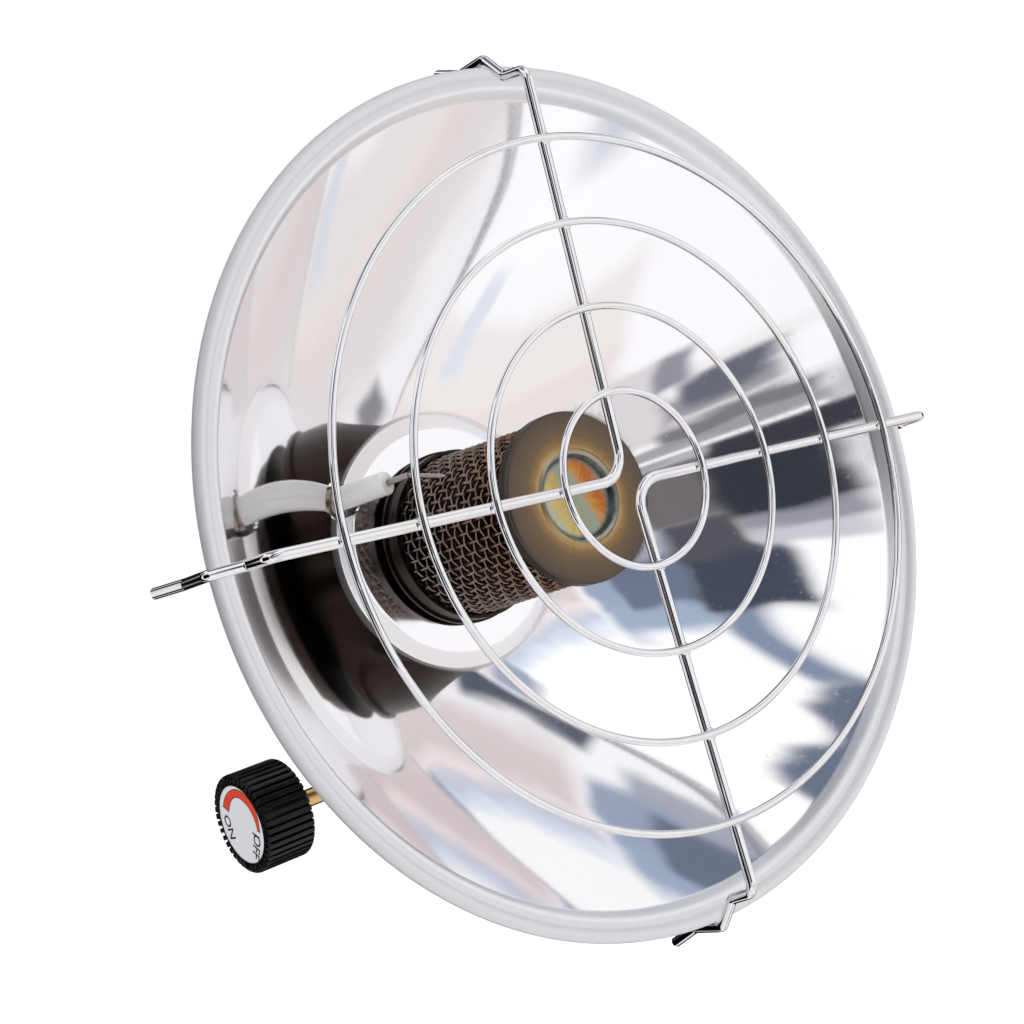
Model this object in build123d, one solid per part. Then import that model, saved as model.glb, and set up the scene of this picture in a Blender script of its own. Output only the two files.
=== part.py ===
from build123d import *
import math
import os

# Portable propane heater head, in millimetres.
# Origin: centre of the mouth of the cylinder thread. +Z runs up along the cylinder axis,
# the reflector faces -Y and the control knob points to -X.

# ---- Valve body and cylinder inlet -------------------------------------------------------
THREAD_RADIUS = 12.7          # 1 inch - 20 cylinder thread, at its major diameter
THREAD_LENGTH = 9.0
RELIEF_LENGTH = 5.0           # undercut between the thread and the floor of the socket
RELIEF_DEPTH = 0.3
COLLAR_WALL = 4.3             # outside the thread
COLLAR_FLOOR = 4.0
COLLAR_FLAT_COUNT = 8
BARREL_RADIUS = 12.0
STEM_HEIGHT = 28.0            # valve stem axis above the inlet mouth
SIDE_BOSS_RADIUS = 8.5
SIDE_BOSS_REACH = 19.0
BARREL_HEAD = 2.0             # metal above the side boss
OUTLET_BOSS_HEIGHT = 8.0
CHAMBER_RADIUS = 4.5
SEAT_RADIUS = 1.0
SEAT_OFFSET = 3.5             # valve seat to the valve axis
GAS_PASSAGE_RADIUS = 1.5
INLET_PASSAGE_RADIUS = 1.2
INLET_PASSAGE_AIM = 3.5       # inlet passage enters the chamber this far beyond the seat
CORNER_CHAMFER = 30.0         # degrees, turned corners of hexagons and of the collar
CORNER_INSET = 0.4            # chamfer circle inside the flats

# ---- Inlet pieces ------------------------------------------------------------------------
NIPPLE_RADIUS = 4.3
NIPPLE_HEIGHT = 3.0
NIPPLE_TIP = 0.8              # bevel of the nipple's nose
NIPPLE_THREAD_RADIUS = 3.5
NIPPLE_BORE = 1.4
PIN_RADIUS = 0.7
PIN_REACH = 1.7               # depressor pin beyond the nipple
PIN_HEAD_HEIGHT = 3.0         # three-cornered head that bites the bore
SEAL_WIDTH = 3.2
SEAL_HEIGHT = 2.5
FILTER_RADIUS = 3.0
FILTER_HEIGHT = 2.0

# ---- Valve stem, bonnet and knob ---------------------------------------------------------
STEM_RADIUS = 2.7
STEM_RUNNING_GAP = 0.06
NEEDLE_LENGTH = 4.0
NEEDLE_TIP_RADIUS = 0.4
NEEDLE_SEAT_GAP = 0.4
STEM_THREAD_RADIUS = 3.6
STEM_THREAD_LENGTH = 6.0
BONNET_ACROSS_FLATS = 17.0
BONNET_HEIGHT = 8.0
BONNET_NOSE_RADIUS = 6.0
BONNET_NOSE_HEIGHT = 3.0
BONNET_SPIGOT = 5.0           # bonnet thread inside the side boss
BONNET_SPIGOT_RADIUS = 6.0
BONNET_NOSE_WALL = 5.0        # thickness that guides the stem
STEM_THREAD_SETBACK = 0.5     # stem thread inside the bonnet's inner end
ORING_SECTION = 1.4
ORING_GROOVE_DEPTH = 0.5
ORING_SPACING = 2.6           # groove centre beyond the stem thread
ORING_GROOVE_WIDTH = 1.6
KNOB_RADIUS = 15.0
KNOB_DEPTH = 16.0
KNOB_FACE_REACH = 64.0        # knob face from the valve axis
KNOB_EDGE = 0.9
KNOB_WALL = 2.0
KNOB_CAVITY_DEPTH = 8.0
KNOB_HUB_RADIUS = 5.2
KNOB_WEB_COUNT = 4
KNOB_WEB_THICKNESS = 1.2
KNOB_WEB_SETBACK = 1.5
RIB_COUNT = 40
RIB_GROOVE_WIDTH = 0.75
RIB_GROOVE_DEPTH = 1.5
RIB_EDGE = 0.3
DIAL_RADIUS = 11.8
DIAL_THICKNESS = 0.8
DIAL_SINK = 0.2               # dial face below the knob's rim
STEM_GRIP_LENGTH = 11.0       # flatted stem end inside the knob
STEM_FLAT_DEPTH = 0.8
KNOB_SCREW_RADIUS = 1.2
KNOB_SCREW_LENGTH = 5.0
KNOB_SCREW_HEAD_RADIUS = 2.2
KNOB_SCREW_HEAD_HEIGHT = 1.4
KNOB_SCREW_LAND = 1.6         # plastic clamped under the screw head
SCREW_CLEARANCE = 0.15

# ---- Gas jet and mixing tube -------------------------------------------------------------
TUBE_RADIUS = 9.0
TUBE_WALL = 0.9
TUBE_BEND_RADIUS = 27.0
TUBE_OVERLAP = 10.0           # tube inside the burner neck
AIR_HOLE_RADIUS = 2.8
AIR_HOLE_COUNT = 4
AIR_HOLE_RISE = 7.0           # air hole centres above the outlet boss
TUBE_SCREW_COUNT = 2
TUBE_SCREW_RISE = 4.0         # screw axis above the foot of the tube
TUBE_SCREW_LENGTH = 4.0
TUBE_SCREW_RADIUS = 1.5
TUBE_SCREW_HEAD_RADIUS = 2.6
TUBE_SCREW_HEAD_HEIGHT = 1.6
JET_THREAD_RADIUS = 3.0
JET_THREAD_LENGTH = 6.0
JET_ACROSS_FLATS = 7.0
JET_HEX_HEIGHT = 3.0
JET_NOSE_HEIGHT = 2.0
JET_NOSE_BASE = 2.6
JET_NOSE_TIP = 1.5
JET_ORIFICE_RADIUS = 0.25
JET_ORIFICE_LENGTH = 1.5

# ---- Reflector ---------------------------------------------------------------------------
DISH_AXIS_HEIGHT = 88.0       # reflector axis above the inlet mouth
DISH_SETBACK = 53.0           # bowl floor in front of the valve axis
DISH_RADIUS = 115.0
DISH_FOCAL_LENGTH = 36.8
SHEET = 0.8
BEAD_RADIUS = 1.8             # rolled edge
FLANGE_WIDTH = 7.0
FLANGE_RISE = 2.0
PAD_RADIUS = 37.0             # pressed centre of the bowl
PAD_SHOULDER = 4.0
PAD_RISE = 2.0

# ---- Burner ------------------------------------------------------------------------------
NECK_WALL = 1.8
NECK_REACH = 14.0             # neck behind the pad
NECK_GAP = 0.3                # neck in the reflector's hole
HUB_RADIUS = 15.0
HUB_HEIGHT = 2.5
CUP_FLANGE_RADIUS = 25.1
CUP_FLANGE = 0.9
CUP_RADIUS = 24.4
CUP_WALL = 0.9
CUP_FLOOR = 1.2
CUP_HEIGHT = 6.5
MESH_CLEARANCE = 0.1          # mesh drum in the cup
MESH_TAPER = 1.5              # on the radius, over the drum's length
MESH_WIRE = 0.8               # the cloth is two wires thick
CAP_RADIUS = 23.25
CAP_REACH = 63.7              # cap face in front of the bowl floor
CAP_SKIRT = 4.0
CAP_WALL = 1.0
CAP_EDGE = 0.9
RECESS_RADIUS = 11.6
RECESS_DEPTH = 1.6
RECESS_LIP = 0.6
RECESS_LIP_WIDTH = 0.8        # each slope of the raised lip
FLAME_TUBE_RADIUS = 17.0
FLAME_TUBE_WALL = 0.8
FLAME_TUBE_SEAT = 1.0         # upstand of the cup floor inside the flame tube
PORT_ROWS = 5
PORTS_PER_ROW = 10
PORT_WIDTH = 2.4
PORT_LENGTH = 6.5
NUT_ACROSS_FLATS = 30.0
NUT_HEIGHT = 5.0
WASHER_RADIUS = 17.5
WASHER_THICKNESS = 2.2

# ---- Ignition ----------------------------------------------------------------------------
ELECTRODE_SIDE = 32.4         # ceramic axis left of the dish axis, at the bowl
ELECTRODE_RISE = 20.0
ELECTRODE_LEAN = 24.7         # degrees towards the burner
CERAMIC_RADIUS = 3.4
CERAMIC_FRONT = 17.7          # ceramic in front of the bowl
CERAMIC_EDGE = 0.6
CERAMIC_TAIL = 6.5            # ceramic behind its ferrule
FERRULE_WALL = 0.8
FERRULE_SETBACK = 9.5         # middle of the bracket's tab behind the bowl
FERRULE_FRONT = 1.0           # ferrule in front of the bowl
FERRULE_FLANGE_RADIUS = 6.2
FERRULE_FLANGE = 1.0
ELECTRODE_HOLE_LENGTH = 11.6
ELECTRODE_HOLE_WIDTH = 10.0
ROD_RADIUS = 0.9
ROD_REACH = 7.2               # straight rod beyond the ceramic
ROD_TIP_RADIUS = 0.6
ROD_TIP_LENGTH = 15.0
ROD_TIP_POINT = 2.5
ROD_POINT_RADIUS = 0.2
ROD_TIP_LEAN = 23.0           # degrees between the tip and the rod
ROD_TIP_TURN = -141.0         # degrees about the rod, tip towards the mesh
TERMINAL_LENGTH = 8.0
TERMINAL_RADIUS = 1.6
TERMINAL_CAP = 3.0
BRACKET_THICKNESS = 1.2
BRACKET_BEND = 1.8            # middle of the sheet
BRACKET_WALL = 21.0           # folds at this distance from the dish axis
BRACKET_TAB_RADIUS = 8.0      # rounded end around the ferrule
BRACKET_ARM = 36.0            # igniter axis right of the dish axis
BRACKET_ARM_RADIUS = 13.0     # rounded end around the igniter
BRACKET_STANDOFF = 40.0       # igniter plate behind the bowl floor
PANEL_CLEARANCE = 0.2
IGNITER_RADIUS = 8.0
IGNITER_LENGTH = 26.0         # barrel in front of its plate
IGNITER_HEAD_RADIUS = 10.5
IGNITER_HEAD_HEIGHT = 4.0
IGNITER_HEAD_EDGE = 0.8
IGNITER_NUT_ACROSS_FLATS = 20.0
IGNITER_NUT_HEIGHT = 4.0
IGNITER_LIP = 2.0             # retains the button
IGNITER_FRONT_WALL = 1.6
CRYSTAL_LENGTH = 10.0
IGNITER_PIN_RADIUS = 1.2
IGNITER_PIN_LENGTH = 6.0
BUTTON_RADIUS = 5.5
BUTTON_GAP = 0.35
BUTTON_REACH = 8.0
BUTTON_EDGE = 1.0
BUTTON_FLANGE = 0.7
BUTTON_FLANGE_HEIGHT = 1.5
SPRING_WIRE = 0.4
SPRING_GAP = 0.3              # coil in the igniter's bore
SPRING_TURNS = 5

# ---- Wire guard --------------------------------------------------------------------------
GUARD_STANDOFF = 13.36        # arm centres in front of the rolled edge, at the dish axis
GUARD_ROLL = 3.8              # degrees about the dish axis
GUARD_CONE = 0.038            # rise of the arms towards the rim, per unit of radius
GUARD_WIRE = 1.4
RING_WIRE = 1.0
RING_RADII = (22.8, 44.8, 67.0, 89.3)
WELD_SINK = 0.25
GUARD_CENTRE_BEND = 8.0
GUARD_OFFSET_SIDE = 1.1       # upright arms each side of the dish axis
GUARD_OFFSET_RISE = 0.55      # level arms above and below it
GUARD_CORNER_BEND = 3.2
HOOK_BEND = 2.6
HOOK_CORNER_INSET = 7.1       # first corner inside the reflector's edge
HOOK_KNEE_INSET = 5.7         # knee inside the reflector's edge
HOOK_KNEE_RISE = 8.5          # knee in front of the rolled edge
HOOK_SHOULDER_RISE = 1.9
HOOK_GRIP_DROP = 9.0          # end of the grip behind the rolled edge
HOOK_TAIL_FLARE = 3.6
HOOK_TAIL_LENGTH = 9.5

# ---- Derived places ----------------------------------------------------------------------
# Heights of the valve are along Z from the inlet mouth; along the stem they run outward from
# the valve axis; in the reflector they run forward from the bowl floor.
collar_radius = THREAD_RADIUS + COLLAR_WALL
socket_floor = THREAD_LENGTH + RELIEF_LENGTH
collar_top = socket_floor + COLLAR_FLOOR
filter_top = collar_top + FILTER_HEIGHT
barrel_top = STEM_HEIGHT + SIDE_BOSS_RADIUS + BARREL_HEAD
boss_radius = TUBE_RADIUS - TUBE_WALL
boss_top = barrel_top + OUTLET_BOSS_HEIGHT
jet_floor = boss_top - JET_THREAD_LENGTH
nipple_low = socket_floor - NIPPLE_HEIGHT

needle_slope = (STEM_RADIUS - NEEDLE_TIP_RADIUS) / NEEDLE_LENGTH
needle_tip = SEAT_OFFSET - (SEAT_RADIUS - NEEDLE_TIP_RADIUS) / needle_slope + NEEDLE_SEAT_GAP
bonnet_floor = SIDE_BOSS_REACH - BONNET_SPIGOT
bonnet_hex_end = SIDE_BOSS_REACH + BONNET_HEIGHT
bonnet_end = bonnet_hex_end + BONNET_NOSE_HEIGHT
gland_end = bonnet_end - BONNET_NOSE_WALL
stem_thread_low = bonnet_floor + STEM_THREAD_SETBACK
stem_thread_high = stem_thread_low + STEM_THREAD_LENGTH
oring_centre = stem_thread_high + ORING_SPACING
knob_back = KNOB_FACE_REACH - KNOB_DEPTH
knob_web = knob_back + KNOB_CAVITY_DEPTH
dial_floor = KNOB_FACE_REACH - DIAL_SINK - DIAL_THICKNESS
screw_seat = dial_floor - KNOB_SCREW_HEAD_HEIGHT - SCREW_CLEARANCE
stem_end = screw_seat - KNOB_SCREW_LAND
grip_start = stem_end - STEM_GRIP_LENGTH

neck_radius = TUBE_RADIUS + NECK_WALL
neck_back = -NECK_REACH
tube_end = neck_back + TUBE_OVERLAP
cup_back = PAD_RISE + HUB_HEIGHT
cup_front = cup_back + CUP_FLOOR
cup_rim = cup_back + CUP_HEIGHT
cap_inside = CAP_REACH - CAP_WALL
mesh_base_radius = CUP_RADIUS - CUP_WALL - MESH_CLEARANCE
mesh_wall = 2 * MESH_WIRE
flame_tube_bore = FLAME_TUBE_RADIUS - FLAME_TUBE_WALL
pad_back = PAD_RISE - SHEET
washer_back = pad_back - WASHER_THICKNESS
plate_back = washer_back - BRACKET_THICKNESS
nut_back = plate_back - NUT_HEIGHT

flange_radius = DISH_RADIUS - FLANGE_WIDTH
bead_ring_radius = DISH_RADIUS - BEAD_RADIUS
bowl_height = (flange_radius**2 - PAD_RADIUS**2) / (4 * DISH_FOCAL_LENGTH)
bead_height = bowl_height + FLANGE_RISE - SHEET / 2
guard_reach = bead_height + GUARD_STANDOFF

electrode_radius = math.hypot(ELECTRODE_SIDE, ELECTRODE_RISE)
electrode_turn = math.degrees(math.atan2(-ELECTRODE_RISE, ELECTRODE_SIDE))
electrode_base = (electrode_radius**2 - PAD_RADIUS**2) / (4 * DISH_FOCAL_LENGTH)
lean_slope = math.tan(math.radians(ELECTRODE_LEAN))
tab_side = ELECTRODE_SIDE + FERRULE_SETBACK * math.sin(math.radians(ELECTRODE_LEAN))
tab_height = electrode_base - FERRULE_SETBACK * math.cos(math.radians(ELECTRODE_LEAN))
ferrule_radius = CERAMIC_RADIUS + FERRULE_WALL
ferrule_back = -FERRULE_SETBACK - BRACKET_THICKNESS / 2
ceramic_back = ferrule_back - FERRULE_FLANGE - CERAMIC_TAIL

igniter_nut_low = BRACKET_THICKNESS
igniter_front = BRACKET_THICKNESS + IGNITER_LENGTH
igniter_bore = BUTTON_RADIUS + BUTTON_FLANGE + BUTTON_GAP
lip_inside = IGNITER_LIP - IGNITER_HEAD_HEIGHT
crystal_back = igniter_front - IGNITER_FRONT_WALL - CRYSTAL_LENGTH

stem_frame = Pos(0, 0, STEM_HEIGHT) * Rot(0, -90, 0)
dish_frame = Pos(0, -DISH_SETBACK, DISH_AXIS_HEIGHT) * Rot(90, 0, 0)
electrode_foot = Pos(-ELECTRODE_SIDE, ELECTRODE_RISE, electrode_base)
electrode_frame = dish_frame * electrode_foot * Rot(0, ELECTRODE_LEAN, 0)
igniter_frame = dish_frame * Pos(BRACKET_ARM, 0, -BRACKET_STANDOFF - BRACKET_THICKNESS / 2)
guard_frame = dish_frame * Rot(0, 0, -GUARD_ROLL)


# ---- Shapes used by several pieces -------------------------------------------------------
def turned(*points):
    """Solid of revolution about Z from (radius, height) corners."""
    return revolve(Plane.XZ * make_face(Polyline(*points, close=True)), Axis.Z)


def rod(radius, low, high):
    """Cylinder about Z between two heights."""
    return Pos(0, 0, low) * Cylinder(radius, high - low, align=(Align.CENTER, Align.CENTER, Align.MIN))


def sleeve(outer, inner, low, high):
    """Tube about Z between two heights."""
    return rod(outer, low, high) - rod(inner, low, high)


def faceted(sides, across_flats, low, high):
    """Prism about Z with its corners turned down at both ends."""
    flat = across_flats / 2
    corner = flat / math.cos(math.pi / sides)
    face = flat - CORNER_INSET
    drop = (corner - face) * math.tan(math.radians(CORNER_CHAMFER))
    prism = extrude(
        Pos(0, 0, low) * RegularPolygon(flat, sides, major_radius=False, rotation=180 / sides),
        high - low,
    )
    return prism & turned(
        (0, low), (face, low), (corner, low + drop), (corner, high - drop), (face, high), (0, high)
    )


def swept(radius, path):
    """Round wire along a path."""
    return sweep(Plane(origin=path @ 0, z_dir=path % 0) * Circle(radius), path=path)


def flatted(radius, low, high):
    """Round shaft with one flat, as the knob grips it."""
    flat = Pos(radius - STEM_FLAT_DEPTH, 0, low) * Box(
        radius, 2 * radius, high - low, align=(Align.MIN, Align.CENTER, Align.MIN)
    )
    return rod(radius, low, high) - flat


# ---- Valve -------------------------------------------------------------------------------
def valve_body():
    """Turned body: threaded collar below, side boss for the stem, outlet boss on top."""
    body = faceted(COLLAR_FLAT_COUNT, 2 * collar_radius, 0, collar_top)
    body += rod(BARREL_RADIUS, collar_top, barrel_top)
    body += rod(boss_radius, barrel_top, boss_top)
    body += stem_frame * rod(SIDE_BOSS_RADIUS, 0, SIDE_BOSS_REACH)
    body -= rod(THREAD_RADIUS, 0, THREAD_LENGTH)
    body -= rod(THREAD_RADIUS + RELIEF_DEPTH, THREAD_LENGTH, socket_floor)
    body -= rod(NIPPLE_THREAD_RADIUS, socket_floor, collar_top)
    body -= rod(FILTER_RADIUS, collar_top, filter_top)
    body -= inlet_passage()
    body -= stem_frame * rod(SEAT_RADIUS, 0, SEAT_OFFSET)
    body -= stem_frame * rod(CHAMBER_RADIUS, SEAT_OFFSET, bonnet_floor)
    body -= stem_frame * rod(BONNET_SPIGOT_RADIUS, bonnet_floor, SIDE_BOSS_REACH)
    body -= rod(GAS_PASSAGE_RADIUS, STEM_HEIGHT - GAS_PASSAGE_RADIUS, jet_floor)
    body -= rod(JET_THREAD_RADIUS, jet_floor, boss_top)
    for screw in tube_screw_places():
        body -= screw * rod(TUBE_SCREW_RADIUS, TUBE_RADIUS - TUBE_SCREW_LENGTH, TUBE_RADIUS)
    return body


def inlet_passage():
    """Slanted drilling from above the filter into the stem chamber."""
    rise = STEM_HEIGHT - filter_top
    run = SEAT_OFFSET + INLET_PASSAGE_AIM
    lean = math.degrees(math.atan2(run, rise))
    return Pos(0, 0, filter_top) * Rot(0, -lean, 0) * rod(INLET_PASSAGE_RADIUS, 0, math.hypot(rise, run))


def inlet_nipple():
    """Brass nose that enters the cylinder valve and carries the depressor pin."""
    nose = NIPPLE_RADIUS - NIPPLE_TIP
    return turned(
        (NIPPLE_BORE, nipple_low), (nose, nipple_low), (NIPPLE_RADIUS, nipple_low + NIPPLE_TIP),
        (NIPPLE_RADIUS, socket_floor), (NIPPLE_THREAD_RADIUS, socket_floor),
        (NIPPLE_THREAD_RADIUS, collar_top), (NIPPLE_BORE, collar_top),
    )


def depressor_pin():
    """Pin that opens the cylinder's own valve; gas passes the flats of its head."""
    head_low = collar_top - PIN_HEAD_HEIGHT
    triangle = RegularPolygon((NIPPLE_BORE + PIN_RADIUS) / 2, 3, major_radius=False)
    head = extrude(Pos(0, 0, head_low) * triangle, PIN_HEAD_HEIGHT)
    head &= rod(NIPPLE_BORE, head_low, collar_top)
    return head + rod(PIN_RADIUS, nipple_low - PIN_REACH, collar_top)


def inlet_seal():
    """Rubber washer on the floor of the cylinder socket."""
    return sleeve(NIPPLE_RADIUS + SEAL_WIDTH, NIPPLE_RADIUS, socket_floor - SEAL_HEIGHT, socket_floor)


def inlet_filter():
    """Sintered disc above the nipple."""
    return rod(FILTER_RADIUS, collar_top, filter_top)


def bonnet_nut():
    """Hexagonal gland nut that closes the stem chamber and guides the stem."""
    nut = rod(BONNET_SPIGOT_RADIUS, bonnet_floor, SIDE_BOSS_REACH)
    nut += faceted(6, BONNET_ACROSS_FLATS, SIDE_BOSS_REACH, bonnet_hex_end)
    nut += rod(BONNET_NOSE_RADIUS, bonnet_hex_end, bonnet_end)
    nut -= rod(STEM_THREAD_RADIUS + STEM_RUNNING_GAP, bonnet_floor, gland_end)
    nut -= rod(STEM_RADIUS + STEM_RUNNING_GAP, gland_end, bonnet_end)
    return stem_frame * nut


def valve_stem():
    """Needle, threaded collar, O-ring groove and flatted grip in one turned piece."""
    groove_floor = STEM_RADIUS - ORING_GROOVE_DEPTH
    groove_low = oring_centre - ORING_GROOVE_WIDTH / 2
    groove_high = oring_centre + ORING_GROOVE_WIDTH / 2
    stem = turned(
        (0, needle_tip), (NEEDLE_TIP_RADIUS, needle_tip), (STEM_RADIUS, needle_tip + NEEDLE_LENGTH),
        (STEM_RADIUS, stem_thread_low), (STEM_THREAD_RADIUS, stem_thread_low),
        (STEM_THREAD_RADIUS, stem_thread_high), (STEM_RADIUS, stem_thread_high),
        (STEM_RADIUS, groove_low), (groove_floor, groove_low), (groove_floor, groove_high),
        (STEM_RADIUS, groove_high), (STEM_RADIUS, grip_start), (0, grip_start),
    )
    stem += flatted(STEM_RADIUS, grip_start, stem_end)
    stem -= rod(KNOB_SCREW_RADIUS, screw_seat - KNOB_SCREW_LENGTH, stem_end)
    return stem_frame * stem


def stem_oring():
    """O-ring in the stem's groove."""
    section = ORING_SECTION / 2
    return stem_frame * Pos(0, 0, oring_centre) * Torus(STEM_RADIUS - ORING_GROOVE_DEPTH + section, section)


def control_knob():
    """Moulded knob: ribbed rim, dial recess in front, webbed cavity and hub behind."""
    groove = Pos(KNOB_RADIUS, 0) * SlotOverall(2 * RIB_GROOVE_DEPTH, RIB_GROOVE_WIDTH)
    outline = Circle(KNOB_RADIUS) - [place * groove for place in PolarLocations(0, RIB_COUNT)]
    rim_corners = outline.vertices().filter_by(
        lambda corner: math.hypot(corner.X, corner.Y) > KNOB_RADIUS - RIB_GROOVE_WIDTH / 2
    )
    outline = fillet(rim_corners, RIB_EDGE)
    envelope = rod(KNOB_RADIUS, knob_back, KNOB_FACE_REACH)
    envelope = fillet(envelope.edges().filter_by(GeomType.CIRCLE), KNOB_EDGE)
    knob = extrude(Pos(0, 0, knob_back) * outline, KNOB_DEPTH) & envelope
    knob -= rod(DIAL_RADIUS, dial_floor, KNOB_FACE_REACH)
    cavity_radius = KNOB_RADIUS - RIB_GROOVE_DEPTH - KNOB_WALL
    cavity = sleeve(cavity_radius, KNOB_HUB_RADIUS, knob_back, knob_web)
    web = Box(
        cavity_radius, KNOB_WEB_THICKNESS, KNOB_CAVITY_DEPTH - KNOB_WEB_SETBACK,
        align=(Align.MIN, Align.CENTER, Align.MIN),
    )
    for place in PolarLocations(0, KNOB_WEB_COUNT):
        cavity -= Pos(0, 0, knob_back + KNOB_WEB_SETBACK) * place * web
    knob -= cavity
    knob -= rod(STEM_RADIUS, knob_back, grip_start)
    knob -= flatted(STEM_RADIUS, grip_start, stem_end)
    knob -= rod(KNOB_SCREW_RADIUS + SCREW_CLEARANCE, stem_end, screw_seat)
    knob -= rod(KNOB_SCREW_HEAD_RADIUS + SCREW_CLEARANCE, screw_seat, dial_floor)
    return stem_frame * knob


def knob_dial():
    """Printed disc in the front of the knob."""
    return stem_frame * rod(DIAL_RADIUS, dial_floor, dial_floor + DIAL_THICKNESS)


def knob_screw():
    """Screw under the dial that holds the knob on the stem."""
    screw = rod(KNOB_SCREW_RADIUS, screw_seat - KNOB_SCREW_LENGTH, screw_seat)
    screw += rod(KNOB_SCREW_HEAD_RADIUS, screw_seat, screw_seat + KNOB_SCREW_HEAD_HEIGHT)
    return stem_frame * screw


# ---- Jet and mixing tube -----------------------------------------------------------------
def gas_jet():
    """Brass jet with its hexagon seated on the outlet boss."""
    hex_top = boss_top + JET_HEX_HEIGHT
    nose_top = hex_top + JET_NOSE_HEIGHT
    jet = rod(JET_THREAD_RADIUS, jet_floor, boss_top)
    jet += faceted(6, JET_ACROSS_FLATS, boss_top, hex_top)
    jet += turned((0, hex_top), (JET_NOSE_BASE, hex_top), (JET_NOSE_TIP, nose_top), (0, nose_top))
    jet -= rod(GAS_PASSAGE_RADIUS, jet_floor, nose_top - JET_ORIFICE_LENGTH)
    jet -= rod(JET_ORIFICE_RADIUS, nose_top - JET_ORIFICE_LENGTH, nose_top)
    return jet


def tube_screw_places():
    """Frames of the tube's screws, their Z pointing outward through the wall."""
    for turn in PolarLocations(0, TUBE_SCREW_COUNT, start_angle=90):
        yield Pos(0, 0, barrel_top + TUBE_SCREW_RISE) * turn * Rot(0, 90, 0)


def mixing_tube():
    """Bent tube from the valve to the burner neck, with air holes around the jet."""
    path = FilletPolyline(
        (0, 0, barrel_top), (0, 0, DISH_AXIS_HEIGHT), (0, -DISH_SETBACK - tube_end, DISH_AXIS_HEIGHT),
        radius=TUBE_BEND_RADIUS,
    )
    tube = swept(TUBE_RADIUS, path) - swept(TUBE_RADIUS - TUBE_WALL, path)
    for turn in PolarLocations(0, AIR_HOLE_COUNT):
        hole = Pos(0, 0, boss_top + AIR_HOLE_RISE) * turn * Rot(0, 90, 0)
        tube -= hole * rod(AIR_HOLE_RADIUS, 0, 2 * TUBE_RADIUS)
    for screw in tube_screw_places():
        tube -= screw * rod(TUBE_SCREW_RADIUS, 0, TUBE_RADIUS)
    return tube


def tube_screws():
    """Two screws through the foot of the tube into the outlet boss."""
    screw = rod(TUBE_SCREW_RADIUS, TUBE_RADIUS - TUBE_SCREW_LENGTH, TUBE_RADIUS)
    screw += rod(TUBE_SCREW_HEAD_RADIUS, TUBE_RADIUS, TUBE_RADIUS + TUBE_SCREW_HEAD_HEIGHT)
    return Part() + [place * screw for place in tube_screw_places()]


# ---- Reflector ---------------------------------------------------------------------------
def bowl_curve(offset):
    """Bowl wall's parabola from the pad to the flange, shifted square to itself."""
    ends = []
    for radius, height in ((PAD_RADIUS, 0), (flange_radius, bowl_height)):
        slope = radius / (2 * DISH_FOCAL_LENGTH)
        shift = offset / math.hypot(1, slope)
        ends.append((radius + slope * shift, height - shift, slope))
    (r0, h0, slope0), (r1, h1, slope1) = ends
    control = (h1 - h0 + slope0 * r0 - slope1 * r1) / (slope0 - slope1)
    return Bezier((r0, h0), (control, h0 + slope0 * (control - r0)), (r1, h1))


def reflector_dish():
    """Spun dish: raised centre pad, parabolic bowl, flange and rolled edge."""
    pad_edge = PAD_RADIUS - PAD_SHOULDER
    pad_back_edge = pad_edge - SHEET * math.tan(math.atan2(PAD_RISE, PAD_SHOULDER) / 2)
    hole = neck_radius + NECK_GAP
    front = bowl_curve(0)
    back = bowl_curve(SHEET)
    flange_front = bead_height + SHEET / 2
    flange_back = bead_height - SHEET / 2
    pad = Polyline(
        front @ 0, (pad_edge, PAD_RISE), (hole, PAD_RISE),
        (hole, pad_back), (pad_back_edge, pad_back), back @ 0,
    )
    flange = Polyline(
        front @ 1, (bead_ring_radius, flange_front), (bead_ring_radius, flange_back), back @ 1
    )
    section = make_face(front + back + pad + flange)
    section += Pos(bead_ring_radius, bead_height) * Circle(BEAD_RADIUS)
    dish = revolve(Plane.XZ * section, Axis.Z)
    slot = Rot(0, 0, electrode_turn) * SlotOverall(ELECTRODE_HOLE_LENGTH, ELECTRODE_HOLE_WIDTH)
    drill = extrude(Pos(0, 0, -FERRULE_SETBACK) * slot, 2 * FERRULE_SETBACK)
    return dish_frame * dish - electrode_frame * drill


def dish_washer():
    """Thick washer between the pad and the ignition bracket."""
    return dish_frame * sleeve(WASHER_RADIUS, neck_radius + NECK_GAP, washer_back, pad_back)


def dish_nut():
    """Nut on the burner neck that clamps washer, bracket and reflector."""
    nut = faceted(6, NUT_ACROSS_FLATS, nut_back, plate_back) - rod(neck_radius, nut_back, plate_back)
    return dish_frame * nut


# ---- Burner ------------------------------------------------------------------------------
def burner_base():
    """Neck, hub and cup that carry the burner in front of the reflector."""
    base = turned(
        (boss_radius, tube_end), (TUBE_RADIUS, tube_end), (TUBE_RADIUS, neck_back),
        (neck_radius, neck_back), (neck_radius, PAD_RISE), (HUB_RADIUS, PAD_RISE), (HUB_RADIUS, cup_back),
        (CUP_FLANGE_RADIUS, cup_back), (CUP_FLANGE_RADIUS, cup_back + CUP_FLANGE),
        (CUP_RADIUS, cup_back + CUP_FLANGE), (CUP_RADIUS, cup_rim), (CUP_RADIUS - CUP_WALL, cup_rim),
        (CUP_RADIUS - CUP_WALL, cup_front), (flame_tube_bore, cup_front),
        (flame_tube_bore, cup_front + FLAME_TUBE_SEAT), (boss_radius, cup_front + FLAME_TUBE_SEAT),
    )
    return dish_frame * base


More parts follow.
